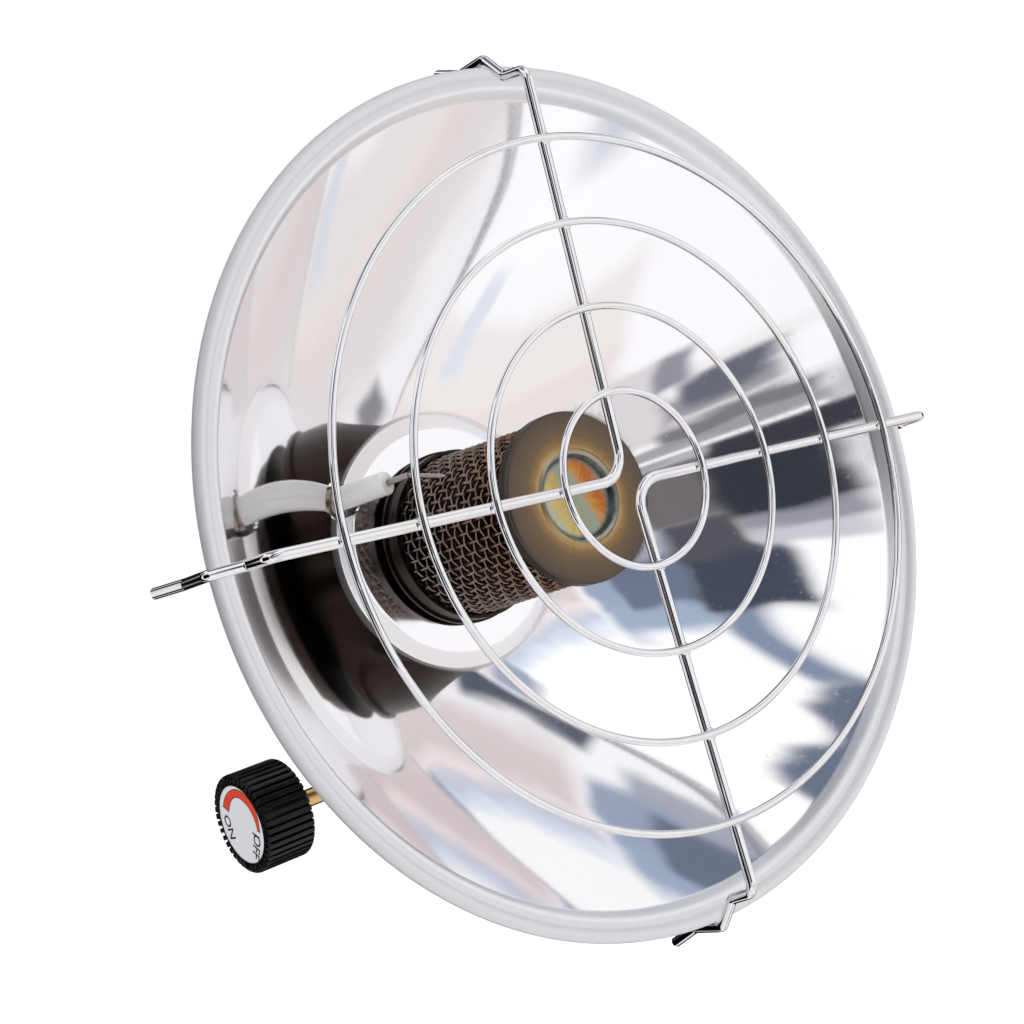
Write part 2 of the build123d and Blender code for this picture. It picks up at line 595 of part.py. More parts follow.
def flame_tube():
    """Inner tube with rows of flame ports, under the mesh."""
    tube = sleeve(FLAME_TUBE_RADIUS, flame_tube_bore, cup_front, cap_inside)
    row_pitch = (cap_inside - cup_front) / PORT_ROWS
    port = Rot(0, 90, 0) * extrude(SlotOverall(PORT_LENGTH, PORT_WIDTH), 2 * FLAME_TUBE_RADIUS)
    for row in range(PORT_ROWS):
        ports = Pos(0, 0, cup_front + (row + 0.5) * row_pitch) * PolarLocations(
            0, PORTS_PER_ROW, start_angle=180 / PORTS_PER_ROW * (row % 2)
        )
        tube -= [place * port for place in ports]
    return dish_frame * tube


def mesh_drum():
    """Tapered drum of wire cloth around the flame tube."""
    top = mesh_base_radius - MESH_TAPER
    drum = turned(
        (mesh_base_radius - mesh_wall, cup_front), (mesh_base_radius, cup_front), (top, cap_inside),
        (top - mesh_wall, cap_inside),
    )
    return dish_frame * drum


def burner_cap():
    """Pressed cap with a rounded skirt and a recessed centre inside a raised lip."""
    lip_peak = RECESS_RADIUS + RECESS_LIP_WIDTH
    lip_foot = lip_peak + RECESS_LIP_WIDTH
    recess_floor = CAP_REACH - RECESS_DEPTH
    skirt_end = CAP_REACH - CAP_SKIRT
    cap = turned(
        (0, recess_floor), (RECESS_RADIUS - RECESS_LIP_WIDTH, recess_floor), (RECESS_RADIUS, CAP_REACH),
        (lip_peak, CAP_REACH + RECESS_LIP), (lip_foot, CAP_REACH), (CAP_RADIUS, CAP_REACH),
        (CAP_RADIUS, skirt_end), (CAP_RADIUS - CAP_WALL, skirt_end), (CAP_RADIUS - CAP_WALL, cap_inside),
        (lip_foot, cap_inside), (RECESS_RADIUS, recess_floor - CAP_WALL), (0, recess_floor - CAP_WALL),
    )
    rim = cap.edges().filter_by(GeomType.CIRCLE).filter_by(lambda e: abs(e.radius - CAP_RADIUS) < CAP_EDGE)
    cap = fillet(rim.sort_by(Axis.Z)[-1], CAP_EDGE)
    return dish_frame * cap


# ---- Ignition ----------------------------------------------------------------------------
def electrode_ceramic():
    """Glazed insulator around the electrode rod."""
    ceramic = rod(CERAMIC_RADIUS, ceramic_back, CERAMIC_FRONT)
    ceramic = fillet(ceramic.edges().filter_by(GeomType.CIRCLE), CERAMIC_EDGE)
    return electrode_frame * (ceramic - rod(ROD_RADIUS, ceramic_back, CERAMIC_FRONT))


def electrode_ferrule():
    """Metal sleeve crimped on the ceramic and flanged behind the bracket's tab."""
    ferrule = sleeve(ferrule_radius, CERAMIC_RADIUS, ferrule_back, FERRULE_FRONT)
    ferrule += sleeve(FERRULE_FLANGE_RADIUS, CERAMIC_RADIUS, ferrule_back - FERRULE_FLANGE, ferrule_back)
    return electrode_frame * ferrule


def electrode_rod():
    """Conductor through the ceramic, its tip bent towards the mesh, a terminal behind."""
    bend = CERAMIC_FRONT + ROD_REACH
    terminal_end = ceramic_back - TERMINAL_LENGTH
    conductor = rod(ROD_RADIUS, terminal_end, bend)
    conductor += rod(TERMINAL_RADIUS, terminal_end, terminal_end + TERMINAL_CAP)
    tip = turned(
        (0, -ROD_RADIUS), (ROD_TIP_RADIUS, -ROD_RADIUS), (ROD_TIP_RADIUS, ROD_TIP_LENGTH - ROD_TIP_POINT),
        (ROD_POINT_RADIUS, ROD_TIP_LENGTH), (0, ROD_TIP_LENGTH),
    )
    conductor += Pos(0, 0, bend) * Rot(0, 0, ROD_TIP_TURN) * Rot(0, ROD_TIP_LEAN, 0) * tip
    return electrode_frame * conductor


def ignition_bracket():
    """Folded strip clamped behind the reflector: a tab for the electrode, a plate for the igniter."""
    plate_middle = plate_back + BRACKET_THICKNESS / 2
    tab_end = tab_side + BRACKET_TAB_RADIUS
    plate_end = BRACKET_ARM + BRACKET_ARM_RADIUS
    fold = FilletPolyline(
        (-tab_end, tab_height + (tab_end - tab_side) * lean_slope),
        (-BRACKET_WALL, tab_height - (tab_side - BRACKET_WALL) * lean_slope),
        (-BRACKET_WALL, plate_middle), (BRACKET_WALL, plate_middle), (BRACKET_WALL, -BRACKET_STANDOFF),
        (plate_end, -BRACKET_STANDOFF),
        radius=BRACKET_BEND,
    )
    strip = extrude(Plane.XZ * trace(fold, BRACKET_THICKNESS), WASHER_RADIUS + ELECTRODE_RISE, both=True)
    clamp = Circle(WASHER_RADIUS).edge()
    tab = Pos(-tab_side, ELECTRODE_RISE) * Circle(BRACKET_TAB_RADIUS)
    plate = Pos(BRACKET_ARM, 0) * Circle(BRACKET_ARM_RADIUS)
    plan = make_hull([clamp, tab.edge()]) + make_hull([clamp, plate.edge()])
    strip &= extrude(plan, BRACKET_STANDOFF + BRACKET_THICKNESS, both=True)
    bracket = dish_frame * (strip - rod(neck_radius + NECK_GAP, plate_back, washer_back))
    bracket -= electrode_frame * rod(ferrule_radius, -2 * FERRULE_SETBACK, 0)
    return bracket - igniter_frame * rod(IGNITER_RADIUS + PANEL_CLEARANCE, 0, BRACKET_THICKNESS)


def igniter_body():
    """Barrel of the piezo igniter, its head behind the plate, a lip around the button."""
    head = rod(IGNITER_HEAD_RADIUS, -IGNITER_HEAD_HEIGHT, 0)
    head = fillet(head.edges().filter_by(GeomType.CIRCLE).sort_by(Axis.Z)[0], IGNITER_HEAD_EDGE)
    body = head + rod(IGNITER_RADIUS, 0, igniter_front)
    body -= rod(BUTTON_RADIUS + BUTTON_GAP, -IGNITER_HEAD_HEIGHT, lip_inside)
    body -= rod(igniter_bore, lip_inside, igniter_front - IGNITER_FRONT_WALL)
    body -= rod(IGNITER_PIN_RADIUS, igniter_front - IGNITER_FRONT_WALL, igniter_front)
    return igniter_frame * body


def igniter_nut():
    """Nut that holds the igniter in its plate."""
    nut_high = igniter_nut_low + IGNITER_NUT_HEIGHT
    nut = faceted(6, IGNITER_NUT_ACROSS_FLATS, igniter_nut_low, nut_high)
    return igniter_frame * (nut - rod(IGNITER_RADIUS, igniter_nut_low, nut_high))


def igniter_button():
    """Push button, held in by the flange at its inner end."""
    button = rod(BUTTON_RADIUS, -IGNITER_HEAD_HEIGHT - BUTTON_REACH, lip_inside)
    button = fillet(button.edges().filter_by(GeomType.CIRCLE).sort_by(Axis.Z)[0], BUTTON_EDGE)
    button += rod(BUTTON_RADIUS + BUTTON_FLANGE, lip_inside, lip_inside + BUTTON_FLANGE_HEIGHT)
    return igniter_frame * button


def igniter_spring():
    """Return spring between the button and the crystal."""
    low = lip_inside + BUTTON_FLANGE_HEIGHT + SPRING_WIRE
    high = crystal_back - SPRING_WIRE
    coil_radius = igniter_bore - SPRING_GAP - SPRING_WIRE
    coil = Pos(0, 0, low) * Helix((high - low) / SPRING_TURNS, high - low, coil_radius)
    return igniter_frame * swept(SPRING_WIRE, coil)


def igniter_crystal():
    """Piezo crystal at the front of the barrel."""
    return igniter_frame * rod(igniter_bore, crystal_back, igniter_front - IGNITER_FRONT_WALL)


def igniter_terminal():
    """Output pin of the igniter."""
    pin_end = igniter_front + IGNITER_PIN_LENGTH
    return igniter_frame * rod(IGNITER_PIN_RADIUS, igniter_front - IGNITER_FRONT_WALL, pin_end)


# ---- Wire guard --------------------------------------------------------------------------
def hook_profile():
    """(radius, height) of the wire's middle from the first corner of a hook to its tail."""
    corner_radius = DISH_RADIUS - HOOK_CORNER_INSET
    grip_radius = DISH_RADIUS + GUARD_WIRE
    grip_end = bead_height - HOOK_GRIP_DROP
    return (
        (corner_radius, guard_reach + GUARD_CONE * corner_radius),
        (DISH_RADIUS - HOOK_KNEE_INSET, bead_height + HOOK_KNEE_RISE),
        (grip_radius, bead_height + HOOK_SHOULDER_RISE),
        (grip_radius, grip_end),
        (grip_radius + HOOK_TAIL_FLARE, grip_end - HOOK_TAIL_LENGTH),
    )


def guard_wire(side):
    """L of wire with a hook at each end: side 1 runs up and left, side -1 down and right."""
    across = -side * GUARD_OFFSET_SIDE
    level = side * GUARD_OFFSET_RISE
    upright = [(across, side * radius, height) for radius, height in hook_profile()]
    sideways = [(-side * radius, level, height) for radius, height in hook_profile()]
    bends = [HOOK_BEND] * 3 + [GUARD_CORNER_BEND]
    path = FilletPolyline(
        *reversed(upright), (across, level, guard_reach), *sideways,
        radius=[*bends, GUARD_CENTRE_BEND, *reversed(bends)],
    )
    return guard_frame * swept(GUARD_WIRE, path)


def guard_ring(radius):
    """Ring welded across the front of the arms."""
    height = guard_reach + GUARD_CONE * radius + GUARD_WIRE + RING_WIRE - WELD_SINK
    return guard_frame * Pos(0, 0, height) * Torus(radius, RING_WIRE)


# ---- Pieces ------------------------------------------------------------------------------
pieces = {
    "valve_body": valve_body(),
    "inlet_nipple": inlet_nipple(),
    "depressor_pin": depressor_pin(),
    "inlet_seal": inlet_seal(),
    "inlet_filter": inlet_filter(),
    "bonnet_nut": bonnet_nut(),
    "valve_stem": valve_stem(),
    "stem_oring": stem_oring(),
    "control_knob": control_knob(),
    "knob_dial": knob_dial(),
    "knob_screw": knob_screw(),
    "gas_jet": gas_jet(),
    "mixing_tube": mixing_tube(),
    "tube_screws": tube_screws(),
    "reflector_dish": reflector_dish(),
    "dish_washer": dish_washer(),
    "dish_nut": dish_nut(),
    "burner_base": burner_base(),
    "flame_tube": flame_tube(),
    "mesh_drum": mesh_drum(),
    "burner_cap": burner_cap(),
    "electrode_ceramic": electrode_ceramic(),
    "electrode_ferrule": electrode_ferrule(),
    "electrode_rod": electrode_rod(),
    "ignition_bracket": ignition_bracket(),
    "igniter_body": igniter_body(),
    "igniter_nut": igniter_nut(),
    "igniter_button": igniter_button(),
    "igniter_spring": igniter_spring(),
    "igniter_crystal": igniter_crystal(),
    "igniter_terminal": igniter_terminal(),
    "guard_wire_top_left": guard_wire(1),
    "guard_wire_bottom_right": guard_wire(-1),
}
for number, radius in enumerate(RING_RADII, start=1):
    pieces[f"guard_ring_{number}"] = guard_ring(radius)

os.makedirs("parts", exist_ok=True)
for name, piece in pieces.items():
    export_step(piece, f"parts/{name}.step")
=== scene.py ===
import math

import bmesh
import bpy
import numpy as np
from mathutils import Matrix, Vector


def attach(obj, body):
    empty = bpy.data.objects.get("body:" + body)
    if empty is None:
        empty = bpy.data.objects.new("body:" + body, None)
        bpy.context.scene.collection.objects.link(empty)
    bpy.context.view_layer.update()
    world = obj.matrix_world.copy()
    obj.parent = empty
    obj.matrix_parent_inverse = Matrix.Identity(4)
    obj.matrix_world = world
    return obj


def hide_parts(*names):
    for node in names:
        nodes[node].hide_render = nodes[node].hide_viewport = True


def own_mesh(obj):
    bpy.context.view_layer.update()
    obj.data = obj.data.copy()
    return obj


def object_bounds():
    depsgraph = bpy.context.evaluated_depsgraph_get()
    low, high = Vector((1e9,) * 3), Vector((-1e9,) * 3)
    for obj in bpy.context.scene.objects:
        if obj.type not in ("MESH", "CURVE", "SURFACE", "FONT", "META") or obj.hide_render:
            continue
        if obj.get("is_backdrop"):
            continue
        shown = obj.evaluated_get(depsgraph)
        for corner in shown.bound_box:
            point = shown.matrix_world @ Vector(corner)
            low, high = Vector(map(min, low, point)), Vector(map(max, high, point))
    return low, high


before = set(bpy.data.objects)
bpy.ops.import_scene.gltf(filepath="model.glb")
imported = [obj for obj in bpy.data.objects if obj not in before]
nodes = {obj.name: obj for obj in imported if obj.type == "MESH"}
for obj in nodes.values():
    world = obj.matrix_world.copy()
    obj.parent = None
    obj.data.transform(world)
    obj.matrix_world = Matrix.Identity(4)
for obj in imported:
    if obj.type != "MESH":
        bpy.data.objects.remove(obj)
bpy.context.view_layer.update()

# ---- Valve body --------------------------------------------------------------------------
# The head screws onto the cylinder by this turned brass body. Bar stock, turned all over, dulled
# by handling, with lathe lines round each turned face and a screw thread in its socket.


class Signal:
    """One shader socket. Python's operators on it add Math nodes to its finish."""

    def __init__(self, finish, socket):
        self.finish = finish
        self.socket = socket

    def maths(self, operation, first, second):
        return self.finish.node("ShaderNodeMath", {"operation": operation}, {0: first, 1: second})

    def __add__(self, other):
        return self.maths("ADD", self, other)

    def __radd__(self, other):
        return self.maths("ADD", other, self)

    def __sub__(self, other):
        return self.maths("SUBTRACT", self, other)

    def __rsub__(self, other):
        return self.maths("SUBTRACT", other, self)

    def __mul__(self, other):
        return self.maths("MULTIPLY", self, other)

    def __rmul__(self, other):
        return self.maths("MULTIPLY", other, self)

    def __truediv__(self, other):
        return self.maths("DIVIDE", self, other)

    def __pow__(self, other):
        return self.maths("POWER", self, other)

    def __mod__(self, other):
        return self.maths("FLOORED_MODULO", self, other)


class Finish:
    """One material: a Principled shader, and the nodes that feed it."""

    def __init__(self, name, colour, metallic, roughness):
        self.material = bpy.data.materials.new(name)
        self.material.use_nodes = True
        self.tree = self.material.node_tree
        self.shader = self.tree.nodes["Principled BSDF"]
        self.spot = self.node("ShaderNodeTexCoord", output="Object")
        self.set(Metallic=metallic, Roughness=roughness)
        self.feed(self.shader.inputs["Base Color"], colour)

    def feed(self, socket, value):
        if isinstance(value, Signal):
            self.tree.links.new(value.socket, socket)
        elif socket.type == "RGBA":
            socket.default_value = (*value[:3], 1)
        else:
            socket.default_value = value

    def node(self, kind, settings=None, sockets=None, output=0):
        """A node of that kind: its settings first, then the values or links of its sockets."""
        made = self.tree.nodes.new(kind)
        for name, value in (settings or {}).items():
            if name == "stops":
                for place, colour in value[2:]:
                    made.color_ramp.elements.new(place)
                for element, (place, colour) in zip(made.color_ramp.elements, value):
                    element.position = place
                    element.color = (*colour, 1)
            else:
                setattr(made, name, value)
        for name, value in (sockets or {}).items():
            self.feed(made.inputs[name], value)
        return Signal(self, made.outputs[output])

    def set(self, **values):
        for name, value in values.items():
            self.feed(self.shader.inputs[name.replace("_", " ")], value)
        return self

    def colour(self, value):
        self.feed(self.shader.inputs["Base Color"], value)

    def split(self, vector):
        """The three parts of a vector."""
        parts = self.node("ShaderNodeSeparateXYZ", {}, {0: vector})
        return [Signal(self, output) for output in parts.socket.node.outputs]

    def noise(self, scale, detail=2.0, stretch=(1, 1, 1), spot=None):
        """Noise of that many grains a metre, squeezed along each axis by the stretch."""
        place = self.node(
            "ShaderNodeVectorMath", {"operation": "MULTIPLY"}, {0: spot or self.spot, 1: stretch}
        )
        return self.node("ShaderNodeTexNoise", {}, {"Vector": place, "Scale": scale, "Detail": detail})

    def ease(self, value, low, high):
        """0 below low, 1 above high, and smooth between."""
        return self.node(
            "ShaderNodeMapRange", {"interpolation_type": "SMOOTHSTEP"}, {0: value, 1: low, 2: high}
        )

    def mix(self, share, first, second):
        """The first colour where share is 0, the second where it is 1."""
        return self.node(
            "ShaderNodeMix", {"data_type": "RGBA"}, {0: share, 6: first, 7: second}, output=2
        )

    def ramp(self, value, *stops):
        return self.node("ShaderNodeValToRGB", {"stops": stops}, {0: value})

    def bump(self, height, depth):
        """Relief of that height in metres."""
        self.set(Normal=self.node("ShaderNodeBump", {}, {"Distance": depth, "Height": height}))
        return self

    def turn(self, right, up):
        """Radius, and angle in radians, of a place given by two lengths."""
        radius = (right * right + up * up) ** 0.5
        return radius, self.maths_of("ARCTAN2", up, right)

    def maths_of(self, operation, first, second=0.0):
        return self.node("ShaderNodeMath", {"operation": operation}, {0: first, 1: second})

    def on(self, *pieces):
        """Puts this finish on every slot of those pieces."""
        for piece in pieces:
            piece.data.materials.clear()
            piece.data.materials.append(self.material)
        return self


VALVE_BRASS = (0.55, 0.42, 0.20)
VALVE_DULL = (0.40, 0.31, 0.17)
brass_body = Finish("turned_brass", VALVE_BRASS, 1.0, 0.28)
handled = brass_body.ease(brass_body.noise(70, 4), 0.42, 0.68)
brass_body.colour(brass_body.mix(handled, VALVE_BRASS, VALVE_DULL))
brass_body.set(Roughness=0.22 + handled * 0.20)
brass_body.bump(brass_body.noise(5000, 2, (0.03, 0.03, 1)), 0.00001)
brass_body.on(nodes["valve_body"])

THREAD_PITCH = 0.00127
THREAD_HEIGHT = 0.0007
SOCKET_RADIUS = 0.0127
SOCKET_TURNS = 6.2


def add(tree, kind, settings=None, sockets=None):
    """One geometry node: settings first, then the values or links of its inputs."""
    made = tree.nodes.new(kind)
    for name, value in (settings or {}).items():
        setattr(made, name, value)
    for name, value in (sockets or {}).items():
        if isinstance(value, bpy.types.NodeSocket):
            tree.links.new(value, made.inputs[name])
        else:
            made.inputs[name].default_value = value
    return made


def new_tree(name, sizes):
    """An empty geometry tree with a named input for each size."""
    tree = bpy.data.node_groups.new(name, "GeometryNodeTree")
    tree.interface.new_socket("Geometry", in_out="OUTPUT", socket_type="NodeSocketGeometry")
    for size, value in sizes.items():
        kind = "NodeSocketInt" if isinstance(value, int) else "NodeSocketFloat"
        tree.interface.new_socket(size, in_out="INPUT", socket_type=kind)
    return tree, tree.nodes.new("NodeGroupInput").outputs


def close_tree(tree, geometry, finish):
    """Ends a tree with its instances made real and its material set."""
    real = add(tree, "GeometryNodeRealizeInstances", {}, {0: geometry})
    dressed = add(tree, "GeometryNodeSetMaterial", {}, {"Geometry": real.outputs[0]})
    dressed.inputs["Material"].default_value = finish.material
    output = tree.nodes.new("NodeGroupOutput")
    tree.links.new(dressed.outputs[0], output.inputs[0])


def grown(name, tree, sizes, place=Matrix.Identity(4)):
    """Runs a tree with those sizes and returns its result as a plain mesh object, in its place."""
    seed_mesh = bpy.data.meshes.new(name)
    piece = bpy.data.objects.new(name, seed_mesh)
    bpy.context.scene.collection.objects.link(piece)
    modifier = piece.modifiers.new("grow", "NODES")
    modifier.node_group = tree
    for item in tree.interface.items_tree:
        if item.in_out == "INPUT" and item.name in sizes:
            modifier[item.identifier] = sizes[item.name]
    bpy.context.view_layer.update()
    result = bpy.data.meshes.new_from_object(piece.evaluated_get(bpy.context.evaluated_depsgraph_get()))
    piece.modifiers.remove(modifier)
    piece.data = result
    result.transform(place)
    soften(piece)
    return piece


def soften(piece, angle=35):
    """Smooth shading, with edges sharper than the angle kept."""
    piece.data.shade_smooth()
    piece.data.set_sharp_from_angle(angle=math.radians(angle))
    return piece


thread_tree, size = new_tree("thread", {"Radius": 0.0, "Pitch": 0.0, "Turns": 0.0, "Depth": 0.0})
rise = add(thread_tree, "ShaderNodeMath", {"operation": "MULTIPLY"}, {0: size["Pitch"], 1: size["Turns"]})
helix = add(thread_tree, "GeometryNodeCurveSpiral", {}, {
    "Resolution": 48, "Rotations": size["Turns"], "Start Radius": size["Radius"],
    "End Radius": size["Radius"], "Height": rise.outputs[0], "Reverse": False,
})
ridge = add(thread_tree, "GeometryNodeCurvePrimitiveCircle", {}, {"Resolution": 4, "Radius": size["Depth"]})
turns = add(thread_tree, "GeometryNodeCurveToMesh", {}, {
    0: helix.outputs[0], 1: ridge.outputs[0], "Fill Caps": True,
})
close_tree(thread_tree, turns.outputs[0], brass_body)
socket_thread = grown("socket_thread", thread_tree, {
    "Radius": SOCKET_RADIUS, "Pitch": THREAD_PITCH, "Turns": SOCKET_TURNS, "Depth": THREAD_HEIGHT,
}, Matrix.Translation((0, 0, THREAD_PITCH / 2)))
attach(socket_thread, "heater_head")

# ---- Inlet pieces ------------------------------------------------------------------------
# Turned brass nipple and depressor pin, the black rubber washer that they stand in, and the
# sintered bronze disc that filters the gas above them. All sit in the socket's undercut.
bright_brass = Finish("bright_brass", (0.72, 0.50, 0.20), 1.0, 0.2)
bright_brass.set(Roughness=0.16 + bright_brass.noise(300, 3) * 0.14)
bright_brass.bump(bright_brass.noise(6000, 1, (1, 1, 0.05)), 0.000006)
bright_brass.on(nodes["inlet_nipple"], nodes["depressor_pin"])

seal_rubber = Finish("seal_rubber", (0.022, 0.022, 0.023), 0.0, 0.62)
seal_rubber.set(Roughness=0.5 + seal_rubber.noise(900, 3) * 0.25)
seal_rubber.bump(seal_rubber.noise(2600, 3), 0.00002)
seal_rubber.on(nodes["inlet_seal"], nodes["stem_oring"])

sintered = Finish("sintered_bronze", (0.36, 0.22, 0.12), 0.9, 0.5)
grains = sintered.node("ShaderNodeTexVoronoi", {}, {"Vector": sintered.spot, "Scale": 4200.0})
sintered.colour(sintered.mix(grains, (0.46, 0.30, 0.17), (0.14, 0.09, 0.05)))
sintered.bump(1.0 - grains, 0.00008)
sintered.on(nodes["inlet_filter"])

# ---- Bonnet, stem and knob ---------------------------------------------------------------
# A hexagonal brass gland nut guides the turned brass stem. The knob is moulded in black plastic
# with forty ribs, and a printed disc in its face shows which way opens the gas.
STEM_HEIGHT = 0.028
golden_brass = Finish("golden_brass", (0.76, 0.50, 0.21), 1.0, 0.24)
golden_brass.set(Roughness=0.18 + golden_brass.noise(260, 3) * 0.16)
golden_brass.bump(golden_brass.noise(5200, 1, (1, 0.03, 0.03)), 0.000008)
golden_brass.on(nodes["bonnet_nut"], nodes["valve_stem"])

knob_plastic = Finish("knob_plastic", (0.003, 0.003, 0.0035), 0.0, 0.36)
worn = knob_plastic.ease(knob_plastic.noise(160, 4), 0.5, 0.75)
knob_plastic.colour(knob_plastic.mix(worn, (0.0025, 0.0025, 0.003), (0.008, 0.008, 0.009)))
knob_plastic.set(Roughness=0.3 + worn * 0.16, Specular_IOR_Level=0.3)
knob_plastic.bump(knob_plastic.noise(5200, 2), 0.00001)


def times(tree, *factors):
    """The product of several numbers or sockets."""
    product = factors[0]
    for factor in factors[1:]:
        product = add(tree, "ShaderNodeMath", {"operation": "MULTIPLY"}, {0: product, 1: factor}).outputs[0]
    return product


# A notch deepens every groove between two ribs towards the knob's face, to its full depth there.
notch_sizes = {"Notches": 40, "Long": 0.007, "Wide": 0.00095, "Deep": 0.003, "Tilt": -0.2915}
NOTCH_MIDDLE = (-0.06243, 0, 0.01437)
notch_tree, size = new_tree("knob_notches", notch_sizes)
moulded = add(notch_tree, "GeometryNodeObjectInfo", {"transform_space": "ORIGINAL"})
moulded.inputs["Object"].default_value = nodes["control_knob"]
block = add(notch_tree, "ShaderNodeCombineXYZ", {}, {0: size["Long"], 1: size["Wide"], 2: size["Deep"]})
cutter = add(notch_tree, "GeometryNodeMeshCube", {}, {"Size": block.outputs[0]})
lean = add(notch_tree, "ShaderNodeCombineXYZ", {}, {1: size["Tilt"]})
tilted = add(notch_tree, "GeometryNodeTransform", {}, {
    "Geometry": cutter.outputs[0], "Translation": NOTCH_MIDDLE, "Rotation": lean.outputs[0],
})
spots = add(notch_tree, "GeometryNodeMeshLine", {}, {
    "Count": size["Notches"], "Start Location": (0, 0, STEM_HEIGHT), "Offset": (0, 0, 0),
})
which = add(notch_tree, "GeometryNodeInputIndex")
pitch = add(notch_tree, "ShaderNodeMath", {"operation": "DIVIDE"}, {0: 2 * math.pi, 1: size["Notches"]})
turned = times(notch_tree, which.outputs[0], pitch.outputs[0])
about = add(notch_tree, "ShaderNodeCombineXYZ", {}, {0: turned})
cutters = add(notch_tree, "GeometryNodeInstanceOnPoints", {}, {
    "Points": spots.outputs[0], "Instance": tilted.outputs[0], "Rotation": about.outputs[0],
})
closed = add(notch_tree, "GeometryNodeMergeByDistance", {}, {
    "Geometry": moulded.outputs["Geometry"], "Distance": 0.000001,
})
exact_cut = {"operation": "DIFFERENCE", "solver": "EXACT"}
notched = add(notch_tree, "GeometryNodeMeshBoolean", exact_cut, {
    "Mesh 1": closed.outputs[0], "Mesh 2": cutters.outputs[0],
})
close_tree(notch_tree, notched.outputs[0], knob_plastic)
notched_knob = grown("notched_knob", notch_tree, notch_sizes)
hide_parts("control_knob")
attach(notched_knob, "control_knob")

DIAL_RADIUS = 0.0118
DIAL_WHITE = (0.80, 0.80, 0.81)
DIAL_RED = (0.82, 0.06, 0.03)
DIAL_BLACK = (0.03, 0.03, 0.035)
dial_print = Finish("dial_print", DIAL_WHITE, 0.0, 0.3)
across, depth, height = dial_print.split(dial_print.spot)
dial_right = depth * (-1 / DIAL_RADIUS)
dial_up = (height - STEM_HEIGHT) * (1 / DIAL_RADIUS)
dial_radius, dial_angle = dial_print.turn(dial_right, dial_up)
degrees = dial_angle * (180 / math.pi)
inner = dial_print.ease(degrees, 15, 62) * -0.01 + dial_print.ease(degrees, 62, 138) * -0.14 + 0.74
outer = dial_print.ease(degrees, -17, 22) * 0.12 + 0.83 - dial_print.ease(degrees, 40, 120) * 0.12
inside = dial_print.ease(dial_radius - inner, -0.008, 0.008)
outside = dial_print.ease(outer - dial_radius, -0.008, 0.008)
begun = dial_print.ease(degrees, -17.5, -16.5)
ended = dial_print.ease(degrees, 140.5, 139.5)
crescent = inside * outside * begun * ended
inner_rim = dial_print.ease(dial_radius - inner, -0.028, -0.020)
outer_rim = dial_print.ease(outer - dial_radius, -0.028, -0.020)
ends = dial_print.ease(degrees, -19.5, -18.5) * dial_print.ease(degrees, 143.5, 142.5)
outline = inner_rim * outer_rim * ends
speckle = dial_print.noise(1500, 2)
dial_print.colour(dial_print.mix(crescent, dial_print.mix(outline, DIAL_WHITE, DIAL_BLACK), DIAL_RED))
dial_print.set(Roughness=0.24 + speckle * 0.1)
dial_print.bump(crescent + speckle * 0.15, 0.00001)
dial_print.on(nodes["knob_dial"])

INK_DEPTH = 0.00006
INK_SPREAD = 0.018
SIZE_PER_CAPITAL = 1.38
DIAL_FACE = -0.0638
dial_ink = Finish("dial_ink", DIAL_BLACK, 0.0, 0.35)
dial_ink.set(Roughness=0.3 + dial_ink.noise(1500, 2) * 0.12)


def dial_place(right, up, turn):
    """Where a printed mark lies on the dial: right and up in dial radii, turned in degrees."""
    facing = Matrix(((0, 0, -1, 0), (-1, 0, 0, 0), (0, 1, 0, 0), (0, 0, 0, 1)))
    spot = Matrix.Translation((DIAL_FACE, -right * DIAL_RADIUS, STEM_HEIGHT + up * DIAL_RADIUS))
    return spot @ facing @ Matrix.Rotation(math.radians(turn), 4, "Z")


def dial_word(name, text, height, place):
    """One printed word, as a thin raised mesh."""
    letters = bpy.data.curves.new(name, "FONT")
    letters.body = text
    letters.size = height * SIZE_PER_CAPITAL
    letters.align_x = "CENTER"
    letters.align_y = "CENTER"
    letters.extrude = INK_DEPTH / 2
    letters.offset = height * INK_SPREAD
    flat = bpy.data.objects.new(name + "_text", letters)
    bpy.context.scene.collection.objects.link(flat)
    bpy.context.view_layer.update()
    mesh = bpy.data.meshes.new_from_object(flat.evaluated_get(bpy.context.evaluated_depsgraph_get()))
    bpy.data.objects.remove(flat)
    mesh.transform(place)
    return finished(name, mesh, dial_ink)


def finished(name, mesh, finish):
    """Links a mesh in the scene as a piece with that finish."""
    piece = bpy.data.objects.new(name, mesh)
    bpy.context.scene.collection.objects.link(piece)
    finish.on(piece)
    return piece


def bar(name, length, width, thickness, place, finish):
    """A thin printed bar."""
    work = bmesh.new()
    bmesh.ops.create_cube(work, size=1)
    bmesh.ops.scale(work, vec=(length, width, thickness), verts=work.verts)
    bmesh.ops.transform(work, matrix=place, verts=work.verts)
    mesh = bpy.data.meshes.new(name)
    work.to_mesh(mesh)
    work.free()
    return finished(name, mesh, finish)


WORD_HEIGHT = 0.00352
word_on = dial_word("dial_word_on", "ON", WORD_HEIGHT, dial_place(-0.69, -0.03, -90))
word_off = dial_word("dial_word_off", "OFF", WORD_HEIGHT, dial_place(0.38, -0.60, -128))
TICK_LENGTH = 0.0038
TICK_WIDTH = 0.00055
TICK_REACH = 0.635
TICK_TURN = -30
tick_right = TICK_REACH * math.cos(math.radians(TICK_TURN))
tick_up = TICK_REACH * math.sin(math.radians(TICK_TURN))
tick_place = dial_place(tick_right, tick_up, TICK_TURN)
tick = bar("dial_tick", TICK_LENGTH, TICK_WIDTH, INK_DEPTH, tick_place, dial_ink)
for mark in (word_on, word_off, tick):
    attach(mark, "control_knob")

